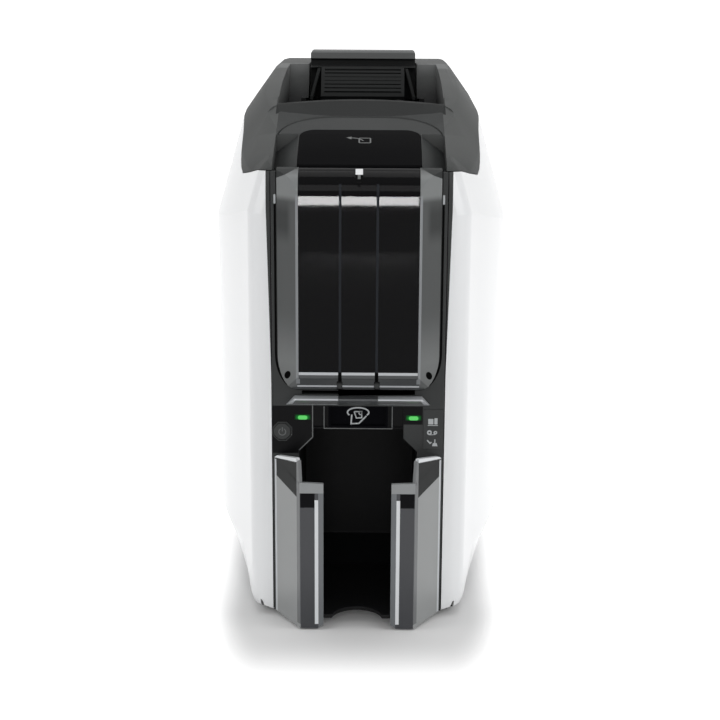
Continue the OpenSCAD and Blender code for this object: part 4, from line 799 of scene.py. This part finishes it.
class Marks:
    """The printed symbols on the front and the hood, with painted shade and painted highlights on the front. All the
    symbols are generic.
    """

    BEZEL_Y = -182.03
    LINE_Y = -182.05
    WINDOW_Y = -181.25
    ICONS_Y = -182.56
    BUTTON_Y = -183.06
    ICONS_X = 37.4
    RAY_START = 0.4
    HOOD_LIFT = 0.06

    def __init__(self, frame_nodes: dict[str, Object]) -> None:
        self.nodes = frame_nodes
        self._trees: dict[str, BVHTree] = {}

    def _hit(self, node: str, start: Point, way: Point) -> Vector:
        """Where a ray meets a node's mesh.

        Args:
            node: CAD node.
            start: the ray's start in metres.
            way: its direction.

        Returns:
            The first point met.
        """
        if node not in self._trees:
            mesh = self.nodes[node].data
            self._trees[node] = BVHTree.FromPolygons([v.co for v in mesh.vertices], [p.vertices for p in mesh.polygons])
        at = self._trees[node].ray_cast(Vector(start), Vector(way))[0]
        if at is None:
            raise ValueError(f"no {node} on the ray from {start}")
        return at

    def build(self) -> None:
        """Draws every symbol."""
        self._hood_symbol()
        self._feed_symbol()
        self._status_symbols()
        self._power_symbol()
        self._door_marks()
        self._bezel_lines()

    def _door_marks(self) -> None:
        """Painted shade: dark discs that stand for recesses in the door's lower corners."""
        for side, tag in SIDES:
            turns = [i * math.pi / 8 for i in range(16)]
            ring = [
                (side * 35.3 + 1.5 * math.cos(a) - side * 0.6 * math.sin(a), 131.2 + 2.1 * math.sin(a)) for a in turns
            ]
            add_print(f"corner_recess_{tag}", Drawing().fill(ring), self._front("door_carrier"), SEAM_AND_SHADE, "door")

    def _bezel_lines(self) -> None:
        """A painted shadow line round the door, and painted highlights along the fine edges of the control blocks."""
        turns = [-i * math.pi / 24 for i in range(1, 13)]
        right = [(41.2, 221), (41.2, 141.4)]
        right += [(30.2 + 11.0 * math.cos(a), 141.2 + 18.2 * math.sin(a)) for a in turns]
        painted_shadow = Drawing().stroke(right + [(-x, z) for x, z in reversed(right)], 1.1)
        add_print("door_gap_line", painted_shadow, front_plane(self.BEZEL_Y), SEAM_AND_SHADE)
        # painted highlights along the control blocks' edges
        edge = Drawing().stroke([(-23.0, 116.4), (-23.0, 97.4), (-29.9, 90.4)], 0.55)
        for side in (-1, 1):
            edge.stroke([(side * 17.2, 113.8), (side * 17.2, 102.3)], 0.45)
        edge.stroke([(-17.4, 102.1), (17.4, 102.1)], 0.45)
        add_print("control_edge_line", edge, front_plane(self.LINE_Y), PRINT_AND_HIGHLIGHT_GREY)

    def _hood_height(self, y: float) -> float:
        """Height just over the hood insert's top at a depth, in millimetres."""
        return self._hit("hood_insert", (0, y * MM, self.RAY_START), (0, 0, -1)).z / MM + self.HOOD_LIFT

    def _front(self, node: str, lift: float = 0.05) -> Placer:
        """Placer for marks that lie on a node's front, whatever its slant."""

        def place(x: float, z: float) -> Point:
            at = self._hit(node, (x * MM, -self.RAY_START, z * MM), (0, 1, 0))
            return at.x, at.y - lift * MM, at.z

        return place

    def _hood_symbol(self) -> None:
        """A faint card with an arrow that curves away from it."""
        draw = Drawing()
        draw.stroke(round_rect(2.4, -153.6, 5.6, 5.4, 0.5), 0.7, closed=True)
        draw.arc((-3.6, -157.2), (6.0, 6.4), (100, 30), 0.7)
        draw.fill([(-6.9, -150.4), (-4.2, -149.2), (-4.4, -152.4)])
        add_print("hood_symbol", draw, lambda x, y: (x * MM, y * MM, self._hood_height(y) * MM), PRINT_AND_HIGHLIGHT_GREY, "cover")

    def _feed_symbol(self) -> None:
        """A hand that holds a card in front of a slot."""
        draw = Drawing()
        draw.arc((0, 110.4), (5.4, 2.5), (-35, 215), 0.75)
        draw.stroke([(-3.2, 109.2), (-3.6, 104.4), (0.4, 104.6), (4.2, 108.6)], 0.7)
        draw.stroke([(-2.0, 110.8), (1.8, 110.8), (1.8, 107.6), (-0.9, 107.4), (-2.0, 110.8)], 0.6)
        draw.arc((1.2, 110.0), (0.8, 0.8), (0, 360), 0.45, 10)
        add_print("feed_symbol", draw, front_plane(self.WINDOW_Y), PRINT_WHITE)

    def _status_symbols(self) -> None:
        """Card, ribbon and cleaning symbols in a column."""
        x = self.ICONS_X
        place = front_plane(self.ICONS_Y)
        card = Drawing()
        card.fill(round_rect(x - 0.7, 106.2, 2.6, 2.9, 0.3))
        card.fill(round_rect(x + 1.9, 106.4, 1.6, 3.3, 0.3))
        card.stroke([(x - 2.2, 104.2), (x + 2.9, 104.2)], 0.35)
        add_print("status_card_symbol", card, place, PRINT_WHITE)
        ribbon = Drawing()
        ribbon.arc((x - 1.3, 100.4), (0.9, 0.9), (0, 360), 0.75, 12)
        ribbon.arc((x + 1.7, 100.4), (0.65, 0.65), (0, 360), 0.6, 12)
        ribbon.stroke([(x - 1.3, 99.2), (x + 1.7, 99.4)], 0.35)
        add_print("status_ribbon_symbol", ribbon, place, PRINT_WHITE)
        clean = Drawing()
        clean.stroke([(x - 2.4, 96.4), (x - 0.9, 94.7), (x - 0.2, 95.4)], 0.6)
        clean.stroke([(x + 1.5, 96.9), (x + 1.5, 94.8)], 0.55)
        clean.fill([(x + 0.6, 94.9), (x + 2.4, 94.9), (x + 2.9, 93.2), (x + 0.1, 93.2)])
        add_print("status_clean_symbol", clean, place, PRINT_WHITE)

    def _power_symbol(self) -> None:
        """The usual broken ring and bar on the power button."""
        draw = Drawing()
        draw.arc((-38.3, 100.4), (1.75, 1.75), (120, 420), 0.45, 20)
        draw.stroke([(-38.3, 100.6), (-38.3, 102.8)], 0.45)
        add_print("power_symbol", draw, front_plane(self.BUTTON_Y), PRINT_AND_HIGHLIGHT_GREY, "button")


# ---------------------------------------------------------------- solids


def prism(outline: Sequence[Pair], y0: float, y1: float) -> Mesh:
    """A mesh prism of an X-Z outline between two depths, all in millimetres."""
    bm = bmesh.new()
    front = [bm.verts.new((x * MM, y0 * MM, z * MM)) for x, z in outline]
    face = bm.faces.new(front)
    grown = bmesh.ops.extrude_face_region(bm, geom=[face])
    moved = [g for g in grown["geom"] if isinstance(g, bmesh.types.BMVert)]
    bmesh.ops.translate(bm, verts=moved, vec=(0, (y1 - y0) * MM, 0))
    bmesh.ops.recalc_face_normals(bm, faces=bm.faces)
    return to_mesh(bm)


def block(low: Point, high: Point) -> Mesh:
    """A box between two corners in millimetres."""
    (x0, y0, z0), (x1, y1, z1) = low, high
    return prism([(x0, z0), (x1, z0), (x1, z1), (x0, z1)], y0, y1)


def side_prism(outline: Sequence[Pair], x0: float, x1: float) -> Mesh:
    """A mesh prism of a Y-Z outline between two widths, all in millimetres."""
    mesh = prism(outline, x0, x1)
    for vert in mesh.vertices:
        vert.co.x, vert.co.y = vert.co.y, vert.co.x
    mesh.flip_normals()
    return mesh


def sheet(path: Sequence[Pair], half: float) -> Mesh:
    """A thin sheet along a Y-Z path, half as wide to each side, in millimetres."""
    bm = bmesh.new()
    rows = [[bm.verts.new((x * MM, y * MM, z * MM)) for x in (-half, half)] for y, z in path]
    for a, b in zip(rows, rows[1:]):
        bm.faces.new((a[0], a[1], b[1], b[0]))
    return to_mesh(bm)


def tube(path: Sequence[Point], radius: float) -> Mesh:
    """A round bar along a path, in millimetres, converted to a plain mesh."""
    data = bpy.data.curves.new("path", "CURVE")
    data.dimensions = "3D"
    data.bevel_depth = radius * MM
    data.bevel_resolution = 2
    data.use_fill_caps = True
    line = data.splines.new("POLY")
    line.points.add(len(path) - 1)
    for point, at in zip(line.points, path):
        point.co = (at[0] * MM, at[1] * MM, at[2] * MM, 1.0)
    mesh = baked(linked("path", data))
    bpy.data.curves.remove(data)
    smooth(mesh, 40)
    return mesh


def row(name: str, unit: Mesh, finish: Finish, body: str, count: int, step: Point) -> None:
    """Adds even repeats of one small mesh, set out by geometry nodes, as one plain piece.

    Args:
        name: piece name.
        unit: the mesh that repeats.
        finish: its finish.
        body: the CAD body it moves with.
        count: how many repeats.
        step: spacing in millimetres.
    """
    holder = linked(f"{name}_unit", unit)
    host = linked(f"{name}_host", bpy.data.meshes.new(f"{name}_host"))
    tree = bpy.data.node_groups.new(f"{name}_row", "GeometryNodeTree")
    tree.interface.new_socket("Geometry", in_out="OUTPUT", socket_type="NodeSocketGeometry")
    line = add_node(tree, "GeometryNodeMeshLine", {"Count": count, "Offset": tuple(v * MM for v in step)})["Mesh"]
    each = add_node(tree, "GeometryNodeObjectInfo", {"Object": holder})["Geometry"]
    put = add_node(tree, "GeometryNodeInstanceOnPoints", {"Points": line, "Instance": each})["Instances"]
    real = add_node(tree, "GeometryNodeRealizeInstances", {"Geometry": put})["Geometry"]
    done = add_node(tree, "GeometryNodeSetMaterial", {"Geometry": real, "Material": paint(finish)})["Geometry"]
    add_node(tree, "NodeGroupOutput", {"Geometry": done})
    host.modifiers.new("row", "NODES").node_group = tree
    mesh = baked(host)
    bpy.data.objects.remove(holder)
    bpy.data.node_groups.remove(tree)
    smooth(mesh)
    new_object(name, mesh, finish, body)


# ---------------------------------------------------------------- added pieces


class FrontDetails:
    """Small pieces on the front that the CAD leaves plain."""

    WING_EDGE = Vector((29.0, -200.0))
    WING_ROOT = Vector((42.4, -182.4))

    def build(self) -> None:
        """Adds the lamps' cores, the door's stops and the wings' upper corners."""
        for side, tag in SIDES:
            core = prism(round_rect(side * 28.0, 107.8, 4.8, 2.1, 1.0), -182.42, -181.8)
            new_object(f"lamp_core_{tag}", core, LAMP_CORE, "housing")
            stop = prism(round_rect(side * 41.3, 219.0, 1.0, 4.6, 0.4), -182.5, -181.8)
            new_object(f"door_stop_{tag}", stop, PRINT_WHITE, "housing")
            self._wing_corner(side, tag)

    def _wing_corner(self, side: int, tag: str) -> None:
        """The clear upper corner of a wing, in the plane of its outer panel, with its polished top edge: a plate of
        painted dark reflection, the bend, and a rim painted as a highlight.

        Args:
            side: -1 for the left wing, 1 for the right one.
            tag: the side's name.
        """
        leaf = [(30.5, 79.2), (42.2, 86.6), (42.2, 86.8), (30.5, 89.4)]
        bend = [(29.0, 78.3), (30.5, 79.2), (30.5, 89.4), (29.6, 90.6)]
        rim = [(30.5, 89.2), (42.3, 86.5), (42.3, 87.0), (41.0, 88.2), (31.2, 91.2), (30.5, 91.0)]
        for name, ring, thick, finish in (
            ("wing_corner", leaf, 1.6, WING_SHADE),
            ("wing_bend", bend, 1.8, WING_BEND),
            ("wing_rim", rim, 2.0, WING_GLINT),
        ):
            new_object(f"{name}_{tag}", self._wing_plate(side, ring, thick), finish, "output_hopper")

    def _wing_plate(self, side: int, ring: Sequence[Pair], thick: float) -> Mesh:
        """A plate on the slanted outer panel of a wing.

        Args:
            side: -1 for the left wing, 1 for the right one.
            ring: its outline in X and Z.
            thick: how far it reaches inwards from the panel's outer face.

        Returns:
            The mesh.
        """
        along = (self.WING_ROOT - self.WING_EDGE).normalized()
        inward = Vector((-along.y, along.x))
        bm = bmesh.new()
        layers = []
        for depth in (0.0, thick):
            layer = []
            for x, z in ring:
                y = self.WING_EDGE.y + along.y * (x - self.WING_EDGE.x) / along.x
                layer.append(bm.verts.new((side * (x + inward.x * depth) * MM, (y + inward.y * depth) * MM, z * MM)))
            layers.append(layer)
        bm.faces.new(layers[0])
        bm.faces.new(layers[1][::-1])
        for i in range(len(ring)):
            k = (i + 1) % len(ring)
            bm.faces.new((layers[0][i], layers[1][i], layers[1][k], layers[0][k]))
        bmesh.ops.recalc_face_normals(bm, faces=bm.faces)
        return to_mesh(bm)


def add_latch_pan() -> None:
    """Adds the trough's floor and the carrier of the latch and the print head, under the cover."""
    half = [(46.1, 243.4), (46.1, 249.8), (43.5, 249.8), (43.5, 246)]
    floor = [(-46.1, 249.8), (-46.1, 243.4), *half, (-43.5, 246), (-43.5, 249.8)]
    rear = [(-10.4, 246.4), (-10.4, 243.4), (-6, 243.4), (0.8, 249.8), (-1.0, 250.7), (-6, 248.2)]
    pieces = {"trough_floor": prism(floor, -98.0, -10.2)}
    for side, tag in SIDES:
        pieces[f"trough_rise_{tag}"] = side_prism(rear, *sorted((side * 34.4, side * 46.1)))
        x0, x1 = sorted((side * 33.4, side * 35.9))
        pieces[f"latch_wall_{tag}"] = block((x0, -10.2, 243.45), (x1, 30.6, 250.6))
    pieces["latch_wall_rear"] = block((-35.9, 28.2, 243.45), (35.9, 30.8, 250.6))
    pieces["carrier_plate"] = block((-37, 28.2, 243.45), (37, 70, 246.2))
    for side, tag in SIDES:
        x = side * 26
        pieces[f"carrier_rib_{tag}"] = block((x - 1.2, 31, 246.1), (x + 1.2, 70, 264.8))
    for name, mesh in pieces.items():
        new_object(name, mesh, COVER_GREY, "cover")


def add_interior() -> None:
    """Adds the ribbon's film, the chips' pins, the wires and the head's flat cable."""
    down = [(71.1, 163.6), (70.6, 158), (31, 122.5), (26, 120.75)]
    up = [(4, 120.75), (-1, 122.5), (-37.5, 149), (-40.2, 160)]
    new_object("ribbon_film", sheet(down + up, 26.5), RIBBON, "housing")
    chips = (("a", -19.0, 21.0, 16), ("b", 8.0, 21.0, 16), ("c", 11.4, 61.0, 12), ("d", 24.0, 61.0, 12))
    for tag, x, y, count in chips:
        unit = block((x, y, 15.2), (x + 1.0, y + 0.6, 16.0))
        row(f"chip_pins_{tag}", unit, GOLD, "housing", count, (0, 1.5, 0))
    for i, x in enumerate((-24.0, -17.0, -10.0)):
        path = [(x, 172, 30), (x, 166, 30 - i), (x + 1, 158, 24), (x + 1, 150, 17)]
        new_object(f"inlet_wire_{i}", tube(path, 0.9), RUBBER, "housing")
    for i, colour in enumerate((CLEANER, RUBBER, RIBBON, BRASS)):
        path = [(5.8, 39.4 + i * 2, 76), (9, 39.4 + i * 2, 60), (8, 42 + i * 2, 30), (6, 44 + i * 2, 16)]
        new_object(f"motor_wire_{i}", tube(path, 0.6), colour, "housing")
    cable = [(24.5, 131), (27, 140), (33, 170), (42, 205), (50, 238), (60, 242.3), (90, 241.5)]
    new_object("head_cable", sheet(cable, 12), PRINT_WHITE, "cover")


# ---------------------------------------------------------------- stage


@dataclass(frozen=True)
class Lamp:
    """A rectangular studio light.

    Attributes:
        name: its name.
        at: where it stands.
        aim: the point that it faces.
        size: its width and height.
        power: in watts.
        seen: whether it shows to the camera.
    """

    name: str
    at: Point
    aim: Point
    size: tuple[float, float]
    power: float
    seen: bool = True


@dataclass(frozen=True)
class Studio:
    """Camera, lights and floor that match the photograph.

    Attributes:
        camera_at: the camera's place.
        camera_aim: the point that it faces.
        lens: its focal length in millimetres.
        sensor: the width of its picture in millimetres.
        roll: its turn about its own line of sight, in degrees.
        world_light: how strongly the world lights the object, where 1 shows as white.
        floor_glow: the same for the floor, under the object.
        shade_box: half of the floor's box that lies in the object's shade.
        shade_stretch: how much faster the shade ends to the sides than to the front.
        shade_ramp: distances from that box between which the floor turns white.
        floor_half: half of the floor's width.
        floor_z: the floor's height.
        floor_colour: how light the floor is, from 0 to 1.
        lamps: the lights.
    """

    camera_at: Point = (0.00754, -0.95471, 0.34506)
    camera_aim: Point = (0.0008, -0.182, 0.138)
    lens: float = 80.0
    sensor: float = 36.0
    roll: float = 0.3
    world_light: float = 0.34
    floor_glow: float = 0.04
    shade_box: Point = (0.045, 0.17, 0.0)
    shade_stretch: Point = (3.0, 1.0, 1.0)
    shade_ramp: Pair = (0.04, 0.13)
    floor_half: float = 12.0
    floor_z: float = -0.0002
    floor_colour: float = 0.75
    lamps: tuple[Lamp, ...] = (
        Lamp("key_top", (0.0, 0.10, 1.35), (0, 0, 0.1), (1.1, 0.9), 5.5),
        Lamp("side_left", (-1.3, -0.5, 0.75), (0, 0, 0.14), (0.8, 1.3), 5.5),
        Lamp("side_right", (1.3, -0.5, 0.75), (0, 0, 0.14), (0.8, 1.3), 7.5),
        Lamp("front_soft", (0.0, -1.7, 0.9), (0, 0, 0.14), (0.9, 0.5), 4.0),
        Lamp("door_strip", (-0.0121, -1.19, 0.0557), (0.0, -0.19, 0.2195), (0.138, 0.0106), 0.56, seen=False),
    )

    def build(self) -> None:
        """Adds the camera, lamps, world and floor."""
        scene = bpy.context.scene
        scene.view_settings.view_transform = "Standard"
        cam_data = bpy.data.cameras.new("camera")
        cam_data.lens = self.lens
        cam_data.sensor_width = self.sensor
        cam = linked("camera", cam_data)
        cam.location = self.camera_at
        look = self._facing(self.camera_at, self.camera_aim).to_matrix().to_4x4()
        cam.matrix_world = Matrix.Translation(self.camera_at) @ look @ Matrix.Rotation(math.radians(self.roll), 4, "Z")
        scene.camera = cam
        for lamp in self.lamps:
            data = bpy.data.lights.new(lamp.name, "AREA")
            data.shape = "RECTANGLE"
            data.size, data.size_y = lamp.size
            data.energy = lamp.power
            obj = linked(lamp.name, data)
            obj.location = lamp.at
            obj.visible_camera = lamp.seen
            obj.rotation_euler = self._facing(lamp.at, lamp.aim).to_euler()
        scene.world = self._world()
        self._floor()

    @staticmethod
    def _facing(at: Point, aim: Point) -> Quaternion:
        """The turn that makes a camera or a lamp at one point face another."""
        return (Vector(aim) - Vector(at)).to_track_quat("-Z", "Y")

    @staticmethod
    def _seen(tree: Tree) -> Socket:
        """A value that is 1 for rays from the camera and from mirrors and glass."""
        path = add_node(tree, "ShaderNodeLightPath", {})
        mirrored = calc(tree, "MAXIMUM", path["Is Camera Ray"], path["Is Glossy Ray"])
        return calc(tree, "MAXIMUM", mirrored, path["Is Transmission Ray"])

    def _world(self) -> bpy.types.World:
        """A world that shows white and lights the object with less."""
        world = bpy.data.worlds.new("world")
        world.use_nodes = True
        tree = world.node_tree
        strength = ramp(tree, self._seen(tree), (self.world_light, 1.0))
        feed(tree, tree.nodes["Background"], {"Color": (1, 1, 1, 1), "Strength": strength})
        return world

    def _floor(self) -> None:
        """A white ground plane that keeps the object's shadow. Its glow is turned down round the object's footprint,
        which paints a soft shade there over the lamps' shadow.
        """
        mesh = bpy.data.meshes.new("floor")
        r = self.floor_half
        corners = [(x, y, self.floor_z) for x, y in ((-r, -r), (r, -r), (r, r), (-r, r))]
        mesh.from_pydata(corners, [], [(0, 1, 2, 3)])
        mat = bpy.data.materials.new("floor_white")
        mat.use_nodes = True
        tree = mat.node_tree
        away = vector_calc(tree, "ABSOLUTE", add_node(tree, "ShaderNodeTexCoord", {})["Object"])
        away = vector_calc(tree, "SUBTRACT", away, self.shade_box)
        away = vector_calc(tree, "MAXIMUM", away, (0.0, 0.0, 0.0))
        away = vector_calc(tree, "MULTIPLY", away, self.shade_stretch)
        level = ramp(tree, vector_calc(tree, "LENGTH", away), (self.floor_glow, 1.0), self.shade_ramp, "SMOOTHSTEP")
        feed(tree, tree.nodes["Principled BSDF"], {
            "Base Color": (*[self.floor_colour] * 3, 1), "Roughness": 1.0, "Specular IOR Level": 0.0,
            "Emission Color": (1, 1, 1, 1), "Emission Strength": calc(tree, "MULTIPLY", level, self._seen(tree)),
        })
        mesh.materials.append(mat)
        floor = linked("floor", mesh)
        floor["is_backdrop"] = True


def measured_box() -> Box:
    """The object's present lowest and highest corners in metres, as plain lists."""
    low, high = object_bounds()
    return [float(v) for v in low], [float(v) for v in high]


def write_size(cad: Box, visual: Box) -> None:
    """Logs the bounds of the CAD frame and of the finished object.

    Args:
        cad: bounds straight after the frame was loaded.
        visual: bounds of everything that shows.
    """
    LOG.info("size: cad %s to %s, visual %s to %s", *cad, *visual)


def main() -> None:
    """Builds the whole scene."""
    logging.basicConfig(level=logging.INFO)
    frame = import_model()
    cad_box = measured_box()
    skin = NodeSkin(frame["nodes"], frame["record"]["behaviour"]["bodies"])
    skin.paint_all()
    for rule in ROUNDINGS:
        skin.soften(rule)
    Marks(frame["nodes"]).build()
    FrontDetails().build()
    add_latch_pan()
    add_interior()
    Studio().build()
    write_size(cad_box, measured_box())


if __name__ == "__main__":
    main()
